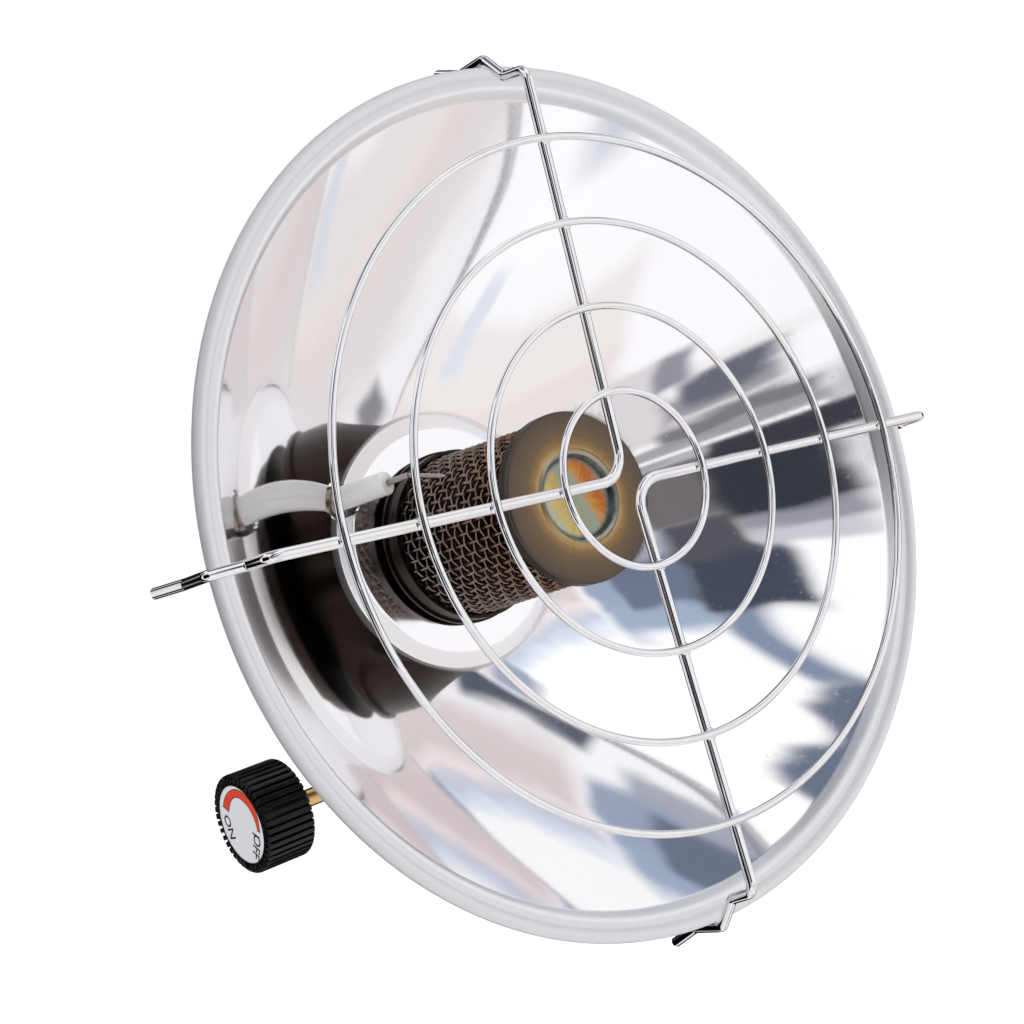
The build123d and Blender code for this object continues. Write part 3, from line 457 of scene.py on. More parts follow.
zinc_plate = Finish("zinc_plate", (0.56, 0.57, 0.60), 1.0, 0.3)
frosting = zinc_plate.noise(800, 4)
zinc_plate.colour(zinc_plate.mix(frosting, (0.46, 0.47, 0.50), (0.66, 0.67, 0.69)))
zinc_plate.set(Roughness=0.2 + frosting * 0.22)
zinc_plate.bump(zinc_plate.noise(2400, 3), 0.00001)
zinc_plate.on(nodes["knob_screw"], nodes["tube_screws"])

# ---- Jet and mixing tube -----------------------------------------------------------------
# The brass jet blows gas up the bent steel tube, which draws in air through four drilled holes.
# Drawn tube, nickel plated, held on the valve by two screws.
bright_brass.on(nodes["gas_jet"])
tube_steel = Finish("drawn_tube", (0.60, 0.59, 0.57), 1.0, 0.22)
draw_lines = tube_steel.noise(900, 3, (1, 0.15, 0.15))
tube_steel.colour(tube_steel.mix(draw_lines, (0.50, 0.49, 0.47), (0.72, 0.71, 0.69)))
tube_steel.set(Roughness=0.14 + draw_lines * 0.16)
tube_steel.bump(draw_lines, 0.00001)
tube_steel.on(nodes["mixing_tube"])

# ---- Burner ------------------------------------------------------------------------------
# A pressed cup on the burner's neck carries the flame tube, with a drum of crimped wire cloth
# round it and a pressed cap on top. Stainless steel, coloured by its first firings.
DISH_HEIGHT = 0.088
DISH_BACK = 0.053


def dish_spot(finish):
    """Millimetres right, up and forward in the reflector's own frame."""
    across, depth, height = finish.split(finish.spot)
    return across * 1000, (height - DISH_HEIGHT) * 1000, (depth + DISH_BACK) * -1000


burner_steel = Finish("fired_steel", (0.03, 0.02, 0.016), 1.0, 0.34)
right, up, forward = dish_spot(burner_steel)
fired = burner_steel.ease(burner_steel.noise(120, 4) + forward * 0.012, 0.40, 0.95)
burner_steel.colour(burner_steel.mix(fired, (0.045, 0.032, 0.026), (0.016, 0.010, 0.008)))
burner_steel.set(Roughness=0.26 + burner_steel.noise(400, 3) * 0.22)
burner_steel.bump(burner_steel.noise(2600, 3), 0.00001)
burner_steel.on(nodes["burner_base"], nodes["flame_tube"])

cloth_steel = Finish("cloth_wire", (0.24, 0.19, 0.16), 1.0, 0.3)
right, up, forward = dish_spot(cloth_steel)
blued = cloth_steel.noise(160, 3)
heated = cloth_steel.ease(forward + blued * 26, 34, 70)
pale_wire = cloth_steel.mix(blued, (0.33, 0.28, 0.245), (0.13, 0.095, 0.08))
cloth_steel.colour(cloth_steel.mix(heated * 0.75, pale_wire, (0.24, 0.135, 0.085)))
cloth_steel.set(Roughness=0.24 + blued * 0.22)
cloth_steel.bump(cloth_steel.noise(3200, 2), 0.00001)

CLOTH_WIRE = 0.0004
CLOTH_BASE = 0.0057
CLOTH_TOP = 0.0627
CLOTH_RADIUS = 0.0226
CLOTH_TAPER = 0.0015
CLOTH_WARPS = 50
CLOTH_ROWS = 20


def crimp(tree, quarter, wire):
    """A wave of that height that turns once in eight points of a line."""
    index = add(tree, "GeometryNodeInputIndex").outputs[0]
    ahead = add(tree, "ShaderNodeMath", {"operation": "ADD"}, {0: index, 1: quarter}).outputs[0]
    phase = times(tree, ahead, math.pi / 4)
    return times(tree, add(tree, "ShaderNodeMath", {"operation": "COSINE"}, {0: phase}).outputs[0], wire)


def wired(tree, line, wire):
    """Six-sided wire along a line."""
    ring = add(tree, "GeometryNodeCurvePrimitiveCircle", {}, {"Resolution": 6, "Radius": wire})
    run = add(tree, "GeometryNodeCurveToMesh", {}, {0: line, 1: ring.outputs[0], "Fill Caps": True})
    return run.outputs[0]


cloth_sizes = {
    "Radius": CLOTH_RADIUS, "Taper": CLOTH_TAPER, "Base": CLOTH_BASE, "Length": CLOTH_TOP - CLOTH_BASE,
    "Wire": CLOTH_WIRE, "Pairs": CLOTH_WARPS // 2, "Row Pairs": CLOTH_ROWS // 2,
}
warp_tree, size = new_tree("cloth_warps", cloth_sizes)
narrow = add(warp_tree, "ShaderNodeMath", {"operation": "SUBTRACT"}, {0: size["Radius"], 1: size["Taper"]})
top = add(warp_tree, "ShaderNodeMath", {"operation": "ADD"}, {0: size["Base"], 1: size["Length"]})
foot = add(warp_tree, "ShaderNodeCombineXYZ", {}, {0: size["Radius"], 2: size["Base"]})
head = add(warp_tree, "ShaderNodeCombineXYZ", {}, {0: narrow.outputs[0], 2: top.outputs[0]})
warp_line = add(warp_tree, "GeometryNodeCurvePrimitiveLine", {}, {
    "Start": foot.outputs[0], "End": head.outputs[0],
})
steps = add(warp_tree, "ShaderNodeMath", {"operation": "MULTIPLY_ADD"}, {0: size["Row Pairs"], 1: 8, 2: 1})
warp_points = add(warp_tree, "GeometryNodeResampleCurve", {}, {
    "Curve": warp_line.outputs[0], "Count": steps.outputs[0],
})
warp_join = add(warp_tree, "GeometryNodeJoinGeometry")
for first, quarter in ((0.0, -2.0), (0.5, 2.0)):
    lift = add(warp_tree, "ShaderNodeCombineXYZ", {}, {0: crimp(warp_tree, quarter, size["Wire"])})
    wave = add(warp_tree, "GeometryNodeSetPosition", {}, {
        "Geometry": warp_points.outputs[0], "Offset": lift.outputs[0],
    })
    places = add(warp_tree, "GeometryNodeMeshLine", {}, {"Count": size["Pairs"], "Offset": (0, 0, 0)})
    number = add(warp_tree, "ShaderNodeMath", {"operation": "ADD"}, {
        0: add(warp_tree, "GeometryNodeInputIndex").outputs[0], 1: first,
    })
    share = add(warp_tree, "ShaderNodeMath", {"operation": "DIVIDE"}, {
        0: number.outputs[0], 1: size["Pairs"],
    })
    turn = add(warp_tree, "ShaderNodeCombineXYZ", {}, {2: times(warp_tree, share.outputs[0], 2 * math.pi)})
    copies = add(warp_tree, "GeometryNodeInstanceOnPoints", {}, {
        "Points": places.outputs[0], "Instance": wired(warp_tree, wave.outputs[0], size["Wire"]),
        "Rotation": turn.outputs[0],
    })
    warp_tree.links.new(copies.outputs[0], warp_join.inputs[0])
close_tree(warp_tree, warp_join.outputs[0], cloth_steel)

weft_tree, size = new_tree("cloth_wefts", cloth_sizes)
around = add(weft_tree, "ShaderNodeMath", {"operation": "MULTIPLY"}, {0: size["Pairs"], 1: 8})
hoop = add(weft_tree, "GeometryNodeCurvePrimitiveCircle", {}, {
    "Resolution": around.outputs[0], "Radius": size["Radius"],
})
outward = add(weft_tree, "ShaderNodeVectorMath", {"operation": "NORMALIZE"}, {
    0: add(weft_tree, "GeometryNodeInputPosition").outputs[0],
})
pitch = add(weft_tree, "ShaderNodeMath", {"operation": "DIVIDE"}, {0: size["Length"], 1: size["Row Pairs"]})
weft_join = add(weft_tree, "GeometryNodeJoinGeometry")
for first, quarter in ((0.25, 4.0), (0.75, 0.0)):
    lift = add(weft_tree, "ShaderNodeVectorMath", {"operation": "SCALE"}, {
        0: outward.outputs[0], "Scale": crimp(weft_tree, quarter, size["Wire"]),
    })
    wave = add(weft_tree, "GeometryNodeSetPosition", {}, {
        "Geometry": hoop.outputs[0], "Offset": lift.outputs[0],
    })
    low = add(weft_tree, "ShaderNodeMath", {"operation": "MULTIPLY_ADD"}, {
        0: pitch.outputs[0], 1: first, 2: size["Base"],
    })
    start = add(weft_tree, "ShaderNodeCombineXYZ", {}, {2: low.outputs[0]})
    step = add(weft_tree, "ShaderNodeCombineXYZ", {}, {2: pitch.outputs[0]})
    places = add(weft_tree, "GeometryNodeMeshLine", {}, {
        "Count": size["Row Pairs"], "Start Location": start.outputs[0], "Offset": step.outputs[0],
    })
    number = add(weft_tree, "ShaderNodeMath", {"operation": "ADD"}, {
        0: add(weft_tree, "GeometryNodeInputIndex").outputs[0], 1: first,
    })
    share = add(weft_tree, "ShaderNodeMath", {"operation": "DIVIDE"}, {
        0: number.outputs[0], 1: size["Row Pairs"],
    })
    loss = add(weft_tree, "ShaderNodeMath", {"operation": "DIVIDE"}, {0: size["Taper"], 1: size["Radius"]})
    keep = add(weft_tree, "ShaderNodeMath", {"operation": "SUBTRACT"}, {
        0: 1.0, 1: times(weft_tree, share.outputs[0], loss.outputs[0]),
    })
    copies = add(weft_tree, "GeometryNodeInstanceOnPoints", {}, {
        "Points": places.outputs[0], "Instance": wired(weft_tree, wave.outputs[0], size["Wire"]),
        "Scale": keep.outputs[0],
    })
    weft_tree.links.new(copies.outputs[0], weft_join.inputs[0])
close_tree(weft_tree, weft_join.outputs[0], cloth_steel)

drum_place = Matrix((
    (1, 0, 0, 0), (0, 0, -1, -DISH_BACK), (0, 1, 0, DISH_HEIGHT), (0, 0, 0, 1),
))
cloth_warp = grown("cloth_warp", warp_tree, cloth_sizes, drum_place)
cloth_weft = grown("cloth_weft", weft_tree, cloth_sizes, drum_place)
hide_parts("mesh_drum")
for cloth in (cloth_warp, cloth_weft):
    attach(cloth, "heater_head")

cap_steel = Finish("cap_steel", (0.30, 0.22, 0.15), 1.0, 0.3)
right, up, forward = dish_spot(cap_steel)
cap_radius, cap_angle = cap_steel.turn(right, up)
spokes = cap_steel.node("ShaderNodeCombineXYZ", {}, {0: cap_angle * 3.2, 1: cap_radius * 0.06})
streak = cap_steel.noise(2.2, 4, spot=spokes)
smoke = cap_steel.noise(70, 4)
face_tint = cap_steel.ramp(
    (cap_radius + smoke * 2.5 + streak * 1.2) / 27.0,
    (0.0, (0.22, 0.25, 0.21)), (0.44, (0.22, 0.25, 0.22)), (0.475, (0.11, 0.14, 0.14)),
    (0.51, (0.36, 0.38, 0.34)), (0.54, (0.44, 0.31, 0.15)), (0.60, (0.27, 0.165, 0.075)),
    (0.68, (0.165, 0.115, 0.068)), (0.82, (0.125, 0.092, 0.067)), (0.97, (0.095, 0.078, 0.068)),
)
sideways = right + up * 0.3
hollow_tint = cap_steel.ramp(
    (sideways + (streak - 0.5) * 9.0) / 26.0 + 0.5,
    (0.10, (0.40, 0.42, 0.36)), (0.22, (0.52, 0.42, 0.16)), (0.36, (0.46, 0.34, 0.12)),
    (0.48, (0.26, 0.31, 0.25)), (0.56, (0.30, 0.33, 0.26)), (0.66, (0.50, 0.24, 0.06)),
    (0.78, (0.42, 0.12, 0.03)), (0.90, (0.30, 0.24, 0.18)),
)
hollow = cap_steel.ease(cap_radius, 10.6, 9.6)
face_tint = cap_steel.mix(hollow, face_tint, hollow_tint)
skirt = cap_steel.ease(forward, 63.2, 62.4) * cap_steel.ease(cap_radius, 15, 17)
cap_steel.colour(cap_steel.mix(skirt, face_tint, (0.075, 0.07, 0.058)))
cap_steel.set(Roughness=0.27 + smoke * 0.14 + streak * 0.08)
cap_steel.bump(cap_steel.noise(1500, 3) + streak * hollow * 4.0, 0.000014)
cap_steel.on(nodes["burner_cap"])

# ---- Reflector ---------------------------------------------------------------------------
# Spun from 0.8 mm aluminium and polished inside: a raised pad for the burner, a parabolic bowl,
# a satin flange and a rolled edge, with an oval hole for the electrode.
PAD_RADIUS = 37.0
PAD_EDGE = 33.0
PAD_RISE = 2.0
PAD_HOLE = 11.1
FOCAL = 36.8
SHEET = 0.8
FLANGE = 108.0
BEAD_RING = 113.2
BEAD_HEIGHT = 71.539
BEAD = 1.8
ELECTRODE_SIDE = 32.4
ELECTRODE_RISE = 20.0
ELECTRODE_LEAN = math.radians(24.7)
ELECTRODE_FOOT = (ELECTRODE_SIDE**2 + ELECTRODE_RISE**2 - PAD_RADIUS**2) / (4 * FOCAL)
SLOT_TURN = math.atan2(-ELECTRODE_RISE, ELECTRODE_SIDE)
# From millimetres right, up and forward in the reflector to the part's frame in metres.
DISH_PLACE = Matrix((
    (0.001, 0, 0, 0), (0, 0, -0.001, -DISH_BACK), (0, 0.001, 0, DISH_HEIGHT), (0, 0, 0, 1),
))


def bowl(radius):
    """How far forward the bowl stands at that radius, on its polished side."""
    return (radius * radius - PAD_RADIUS**2) / (4 * FOCAL)


def lathed(name, profile, steps, finish):
    """A closed outline of (radius, forward) points in millimetres, spun about the dish's axis."""
    work = bmesh.new()
    rings = []
    for radius, forward in profile:
        ring = []
        for step in range(steps):
            turn = 2 * math.pi * step / steps
            ring.append(work.verts.new((radius * math.cos(turn), radius * math.sin(turn), forward)))
        rings.append(ring)
    for first, second in zip(rings, rings[1:] + rings[:1]):
        for step in range(steps):
            after = (step + 1) % steps
            work.faces.new((first[step], first[after], second[after], second[step]))
    work.transform(DISH_PLACE)
    bmesh.ops.recalc_face_normals(work, faces=work.faces)
    mesh = bpy.data.meshes.new(name)
    work.to_mesh(mesh)
    work.free()
    return finished(name, mesh, finish)


reflector = Finish("polished_aluminium", (0.90, 0.90, 0.91), 1.0, 0.06)
right, up, forward = dish_spot(reflector)
dish_radius, dish_angle = reflector.turn(right, up)
circle = reflector.node("ShaderNodeCombineXYZ", {}, {0: dish_radius * 0.001, 1: dish_angle * 0.0016})
spin_lines = reflector.noise(2600, 2, (1, 1, 1), circle)
rays = reflector.node("ShaderNodeCombineXYZ", {}, {0: dish_radius * 0.0006, 1: dish_angle * 0.05})
scratches = reflector.ease(reflector.noise(1400, 3, (1, 1, 1), rays), 0.55, 0.75)
flange = reflector.ease(dish_radius, 106.6, 107.3)
pad = reflector.ease(dish_radius, 36.6, 36.0)
haze = reflector.noise(26, 3)
under = reflector.ease(forward - bowl(dish_radius), -0.3, -0.6)
aluminium = reflector.mix(haze, (0.90, 0.89, 0.90), (0.94, 0.93, 0.935))
reflector.colour(reflector.mix(flange, aluminium, (0.86, 0.86, 0.87)))
polish = 0.03 + spin_lines * 0.03 + scratches * 0.05 + flange * 0.36 + pad * 0.05
pad_step = reflector.ease(dish_radius, 32.6, 33.4) * reflector.ease(dish_radius, 38.8, 37.4)
reflector.set(Roughness=polish + under * 0.3 + pad_step * 0.24)
waves = reflector.noise(18, 1)
satin = flange * reflector.noise(2200, 2)
reflector.bump(waves * 9.0 + spin_lines * 0.03 + scratches * 0.03 + satin, 0.00001)

front = [(PAD_HOLE, PAD_RISE), (PAD_EDGE - 0.8, PAD_RISE), (PAD_EDGE, PAD_RISE - 0.12)]
front += [(PAD_RADIUS - 0.6, 0.22), (PAD_RADIUS, 0.06)]
front += [(r, bowl(r)) for r in np.linspace(PAD_RADIUS + 0.5, FLANGE - 1.3, 72)]
front += [(FLANGE - 0.7, bowl(FLANGE) - 0.65), (FLANGE - 0.15, bowl(FLANGE) + 0.25)]
front += [(FLANGE + 0.3, bowl(FLANGE) + 1.15), (FLANGE + 0.75, bowl(FLANGE) + 1.7)]
front += [(FLANGE + 1.4, BEAD_HEIGHT + 0.4), (BEAD_RING - 1.95, BEAD_HEIGHT + 0.4)]
bead_turns = np.linspace(math.radians(158), math.radians(-162), 26)
front += [(BEAD_RING + BEAD * math.cos(t), BEAD_HEIGHT + BEAD * math.sin(t)) for t in bead_turns]
back = [(FLANGE + 0.75, BEAD_HEIGHT - 0.4)]
for radius in np.linspace(FLANGE, PAD_RADIUS, 40):
    slope = radius / (2 * FOCAL)
    shift = SHEET / math.hypot(1, slope)
    back.append((radius + slope * shift, bowl(radius) - shift))
back += [(PAD_EDGE - 0.2, PAD_RISE - SHEET), (PAD_HOLE, PAD_RISE - SHEET)]
dish = lathed("reflector_bowl", front + back, 360, reflector)

SLOT_WIDTH = 10.0
SLOT_STRETCH = 0.8
SLOT_DEPTH = 19.0
punch = bmesh.new()
outline = []
for turn in np.linspace(-math.pi / 2, math.pi * 1.5, 72, endpoint=False):
    side = math.copysign(SLOT_STRETCH, math.cos(turn))
    across = SLOT_WIDTH / 2 * math.cos(turn) + side
    outline.append(punch.verts.new((across, SLOT_WIDTH / 2 * math.sin(turn), -SLOT_DEPTH / 2)))
raised = bmesh.ops.extrude_face_region(punch, geom=[punch.faces.new(outline)])
top = [v for v in raised["geom"] if isinstance(v, bmesh.types.BMVert)]
bmesh.ops.translate(punch, vec=(0, 0, SLOT_DEPTH), verts=top)
bmesh.ops.recalc_face_normals(punch, faces=punch.faces)
foot = Matrix.Translation((-ELECTRODE_SIDE, ELECTRODE_RISE, ELECTRODE_FOOT))
electrode_matrix = DISH_PLACE @ foot @ Matrix.Rotation(ELECTRODE_LEAN, 4, "Y")
punch.transform(electrode_matrix @ Matrix.Rotation(SLOT_TURN, 4, "Z"))
punch_mesh = bpy.data.meshes.new("slot_punch")
punch.to_mesh(punch_mesh)
punch.free()
punch_tool = finished("slot_punch", punch_mesh, reflector)
cut = dish.modifiers.new("slot", "BOOLEAN")
cut.operation = "DIFFERENCE"
cut.object = punch_tool
bpy.context.view_layer.update()
cut_mesh = bpy.data.meshes.new_from_object(dish.evaluated_get(bpy.context.evaluated_depsgraph_get()))
dish.modifiers.remove(cut)
dish.data = cut_mesh
bpy.data.objects.remove(punch_tool)
soften(dish, 24)
reflector.on(dish)

# The bowl's own slope replaces its faces' slopes, so that what it mirrors stays unbroken.
mirror_normals = []
for polygon in dish.data.polygons:
    for corner in polygon.vertices:
        spot = dish.data.vertices[corner].co
        x, y = spot.x * 1000, (spot.z - DISH_HEIGHT) * 1000
        forward = (-spot.y - DISH_BACK) * 1000
        radius = math.hypot(x, y)
        polished = abs(forward - bowl(radius)) < 0.02 and radius < FLANGE - 1.2
        steep = Vector((-x / (2 * FOCAL), -1, -y / (2 * FOCAL))).normalized()
        mirror_normals.append(steep if polished and steep.dot(polygon.normal) > 0.9 else None)
loops = [Vector(c.vector) for c in dish.data.corner_normals]
dish.data.normals_split_custom_set([m or n for m, n in zip(mirror_normals, loops)])
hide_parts("reflector_dish")
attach(dish, "heater_head")

# ---- Bracket, washer and nut behind the reflector ----------------------------------------
# Pressed steel bracket, clamped with a thick washer between the reflector and a brass nut on the
# burner's neck. Zinc plated.
zinc_plate.on(nodes["ignition_bracket"], nodes["dish_washer"])
golden_brass.on(nodes["dish_nut"])

# ---- Igniter -----------------------------------------------------------------------------
# Push-button piezo igniter: black moulded barrel and nut, a red button on a coil spring, the
# fired crystal that the spring strikes, and a brass pin for the lead.
igniter_plastic = Finish("igniter_plastic", (0.012, 0.012, 0.013), 0.0, 0.42)
igniter_plastic.set(Roughness=0.34 + igniter_plastic.noise(240, 3) * 0.18)
igniter_plastic.bump(igniter_plastic.noise(4200, 2), 0.000012)
igniter_plastic.on(nodes["igniter_body"], nodes["igniter_nut"])

button_plastic = Finish("button_plastic", (0.50, 0.02, 0.015), 0.0, 0.25)
rubbed = button_plastic.noise(220, 3)
button_plastic.colour(button_plastic.mix(rubbed, (0.54, 0.022, 0.016), (0.40, 0.015, 0.012)))
button_plastic.set(Roughness=0.18 + rubbed * 0.18)
button_plastic.bump(button_plastic.noise(3000, 2), 0.000008)
button_plastic.on(nodes["igniter_button"])

# The coil stands on the crystal, its copied mesh merged into one piece.
coil_mesh = bpy.data.meshes.new("igniter_coil")
coil = bmesh.new()
coil.from_mesh(nodes["igniter_spring"].data)
bmesh.ops.remove_doubles(coil, verts=coil.verts, dist=0.000001)
coil.to_mesh(coil_mesh)
coil.free()
igniter_coil = soften(finished("igniter_coil", coil_mesh, zinc_plate))
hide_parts("igniter_spring")
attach(igniter_coil, "heater_head")
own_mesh(igniter_coil)

crystal = Finish("fired_crystal", (0.55, 0.50, 0.40), 0.0, 0.6)
crystal.colour(crystal.mix(crystal.noise(700, 4), (0.60, 0.55, 0.45), (0.44, 0.39, 0.30)))
crystal.bump(crystal.noise(2600, 3), 0.00002)
crystal.on(nodes["igniter_crystal"])
bright_brass.on(nodes["igniter_terminal"])

# ---- Electrode ---------------------------------------------------------------------------
# White glazed ceramic in a flared steel ferrule, and through it a steel rod whose thin pointed
# tip leans to the wire cloth, where the spark jumps.
glaze = Finish("white_glaze", (0.86, 0.855, 0.84), 0.0, 0.12)
soot = glaze.ease(glaze.noise(150, 4), 0.56, 0.80)
glaze.colour(glaze.mix(soot, (0.87, 0.865, 0.85), (0.78, 0.765, 0.74)))
glaze.set(Roughness=0.09 + soot * 0.14, Coat_Weight=0.4)
glaze.bump(glaze.noise(180, 2), 0.00003)
glaze.on(nodes["electrode_ceramic"])

rod_steel = Finish("rod_steel", (0.40, 0.36, 0.33), 1.0, 0.28)
right, up, forward = dish_spot(rod_steel)
scale = rod_steel.noise(500, 3)
tip_heat = rod_steel.ease(right + scale * 2.0, -20.5, -16.0)
rod_steel.colour(rod_steel.mix(tip_heat, (0.34, 0.31, 0.29), (0.62, 0.38, 0.24)))
rod_steel.set(Roughness=0.2 + scale * 0.2)
rod_steel.bump(scale, 0.00001)
rod_steel.on(nodes["electrode_rod"])

ferrule_steel = Finish("ferrule_steel", (0.36, 0.32, 0.27), 1.0, 0.3)
ferrule_steel.set(Roughness=0.22 + ferrule_steel.noise(600, 3) * 0.2)
ferrule_steel.bump(ferrule_steel.noise(2400, 2), 0.00001)
ferrule_steel.on(nodes["electrode_ferrule"])

# ---- Wire guard --------------------------------------------------------------------------
# Two bent wires cross in front of the burner, hook over the rolled edge at four places, and
# carry four rings that are spot welded across them. Bright chrome plate on steel wire.
GUARD_ROLL = math.radians(-3.8)
GUARD_REACH = BEAD_HEIGHT + 13.36
GUARD_CONE = 0.038
GUARD_WIRE = 1.4
RING_WIRE = 1.0
RING_RADII = (22.8, 44.8, 67.0, 89.3)
WELD_SINK = 0.25
CORNER = 107.9
ELBOW = 8.0
BENDS = (2.6, 2.6, 2.6, 3.2)
ARM_ASIDE = 1.1
ARM_RAISED = 0.55
HOOK = (
    (CORNER, GUARD_REACH + GUARD_CONE * CORNER), (109.3, BEAD_HEIGHT + 8.5), (116.4, BEAD_HEIGHT + 1.9),
    (116.4, BEAD_HEIGHT - 9.0), (120.0, BEAD_HEIGHT - 18.5),
)

chrome = Finish("chrome_wire", (0.80, 0.80, 0.81), 1.0, 0.05)
pits = chrome.noise(420, 3)
chrome.colour(chrome.mix(pits, (0.76, 0.76, 0.775), (0.86, 0.86, 0.865)))
chrome.set(Roughness=0.03 + pits * 0.05)
chrome.bump(chrome.noise(260, 2), 0.000008)


def plated(name, line, radius, sides, closed=False):
    """Round chromed wire along a line of points, given in millimetres in the guard's own place."""
    wires = bpy.data.curves.new(name, "CURVE")
    wires.dimensions = "3D"
    wires.bevel_depth = radius / 1000
    wires.bevel_resolution = sides // 2 - 2
    wires.use_fill_caps = True
    spline = wires.splines.new("POLY")
    spline.points.add(len(line) - 1)
    for point, spot in zip(spline.points, line):
        point.co = (*(guard_matrix @ spot), 1)
    spline.use_cyclic_u = closed
    bent = bpy.data.objects.new(name + "_line", wires)
    bpy.context.scene.collection.objects.link(bent)
    bpy.context.view_layer.update()
    mesh = bpy.data.meshes.new_from_object(bent.evaluated_get(bpy.context.evaluated_depsgraph_get()))
    bpy.data.objects.remove(bent)
    return soften(finished(name, mesh, chrome), 50)


def rounded(corners, radii, steps=10):
    """The points of a line of straight runs joined by arcs of those radii."""
    points = [Vector(corners[0])]
    for before, corner, after, radius in zip(corners, corners[1:], corners[2:], radii):
        corner = Vector(corner)
        back = (Vector(before) - corner).normalized()
        on = (Vector(after) - corner).normalized()
        half = back.angle(on) / 2
        centre = corner + (back + on).normalized() * (radius / math.sin(half))
        start = corner + back * (radius / math.tan(half)) - centre
        end = corner + on * (radius / math.tan(half)) - centre
        for step in range(steps + 1):
            points.append(centre + start.normalized().slerp(end.normalized(), step / steps) * radius)
    points.append(Vector(corners[-1]))
    return points


guard_matrix = DISH_PLACE @ Matrix.Rotation(GUARD_ROLL, 4, "Z")
for name, side in (("guard_wire_top_left", 1), ("guard_wire_bottom_right", -1)):
    across, level = -side * ARM_ASIDE, side * ARM_RAISED
    upright = [(across, side * radius, forward) for radius, forward in HOOK]
    sideways = [(-side * radius, level, forward) for radius, forward in HOOK]
    corners = [*reversed(upright), (across, level, GUARD_REACH), *sideways]
    line = rounded(corners, [*BENDS, ELBOW, *reversed(BENDS)])
    wire = plated(name + "_plated", line, GUARD_WIRE, sides=20)
    wire.visible_glossy = False
    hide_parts(name)
    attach(wire, "heater_head")

for number, radius in enumerate(RING_RADII, start=1):
    forward = GUARD_REACH + GUARD_CONE * radius + GUARD_WIRE + RING_WIRE - WELD_SINK
    line = []
    for turn in np.linspace(0, 2 * math.pi, 180, endpoint=False):
        line.append(Vector((radius * math.cos(turn), radius * math.sin(turn), forward)))
    ring = plated(f"guard_ring_{number}_plated", line, RING_WIRE, sides=16, closed=True)
    ring.visible_glossy = False
    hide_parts(f"guard_ring_{number}")
    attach(ring, "heater_head")

WELD_WIDE = 0.0017
WELD_TALL = 0.0008
weld_tree, size = new_tree("welds", {
    "First": 0.0, "Spacing": 0.0, "Height": 0.0, "Cone": 0.0, "Wide": 0.0, "Tall": 0.0, "Rings": 0,
})
slope = times(weld_tree, size["Spacing"], size["Cone"])
weld_start = add(weld_tree, "ShaderNodeCombineXYZ", {}, {1: size["First"], 2: size["Height"]})
weld_step = add(weld_tree, "ShaderNodeCombineXYZ", {}, {1: size["Spacing"], 2: slope})
row = add(weld_tree, "GeometryNodeMeshLine", {}, {
    "Count": size["Rings"], "Start Location": weld_start.outputs[0], "Offset": weld_step.outputs[0],
})
blob = add(weld_tree, "GeometryNodeMeshUVSphere", {}, {"Segments": 16, "Rings": 8, "Radius": 1.0})
flat = add(weld_tree, "ShaderNodeCombineXYZ", {}, {0: size["Wide"], 1: size["Wide"], 2: size["Tall"]})
blobs = add(weld_tree, "GeometryNodeInstanceOnPoints", {}, {
    "Points": row.outputs[0], "Instance": blob.outputs[0], "Scale": flat.outputs[0],
})
arms = add(weld_tree, "GeometryNodeJoinGeometry")
aside, raised = ARM_ASIDE / 1000, ARM_RAISED / 1000
for quarter, shift in enumerate(((-aside, 0, 0), (0, raised, 0), (aside, 0, 0), (0, -raised, 0))):
    arm = add(weld_tree, "GeometryNodeTransform", {}, {
        "Geometry": blobs.outputs[0], "Translation": shift, "Rotation": (0, 0, quarter * math.pi / 2),
    })
    weld_tree.links.new(arm.outputs[0], arms.inputs[0])
close_tree(weld_tree, arms.outputs[0], chrome)
weld_height = GUARD_REACH + GUARD_CONE * RING_RADII[0] + GUARD_WIRE
welds = grown("guard_welds", weld_tree, {
    "First": RING_RADII[0] / 1000, "Spacing": (RING_RADII[-1] - RING_RADII[0]) / 3000,
    "Height": weld_height / 1000, "Cone": GUARD_CONE, "Wide": WELD_WIDE, "Tall": WELD_TALL,
    "Rings": len(RING_RADII),
}, drum_place @ Matrix.Rotation(GUARD_ROLL, 4, "Z"))
welds.visible_glossy = False
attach(welds, "heater_head")

# ---- Floor, backdrop, lamps and camera ---------------------------------------------------
# The head stands as high as on its cylinder, over a plain pale floor. A round white tent with grey,
# blue and pink walls, which only reflections see, gives the polished pieces their bands.
FLOOR_HEIGHT = -0.24
FLOOR_REACH = 6
AIM = Vector((0, -0.10, 0.088))


def see_white(tree, lit, white):
    """Mixes what is lit with plain white for the camera, for reflections and through glass."""
    rays = tree.nodes.new("ShaderNodeLightPath")
    either = rays.outputs["Is Camera Ray"]
    for kind in ("Is Glossy Ray", "Is Transmission Ray"):
        both = add(tree, "ShaderNodeMath", {"operation": "MAXIMUM"}, {0: either, 1: rays.outputs[kind]})
        either = both.outputs[0]
    return add(tree, "ShaderNodeMixShader", {}, {0: either, 1: lit, 2: white}).outputs[0]


world = bpy.data.worlds.new("studio")
world.use_nodes = True
bpy.context.scene.world = world
sky = world.node_tree
sky.nodes.clear()
room = add(sky, "ShaderNodeBackground", {}, {"Color": (0.96, 0.97, 1.0, 1), "Strength": 0.62})
screen = add(sky, "ShaderNodeBackground", {}, {"Color": (1, 1, 1, 1), "Strength": 1.0})
sky_out = sky.nodes.new("ShaderNodeOutputWorld")
sky.links.new(see_white(sky, room.outputs[0], screen.outputs[0]), sky_out.inputs["Surface"])

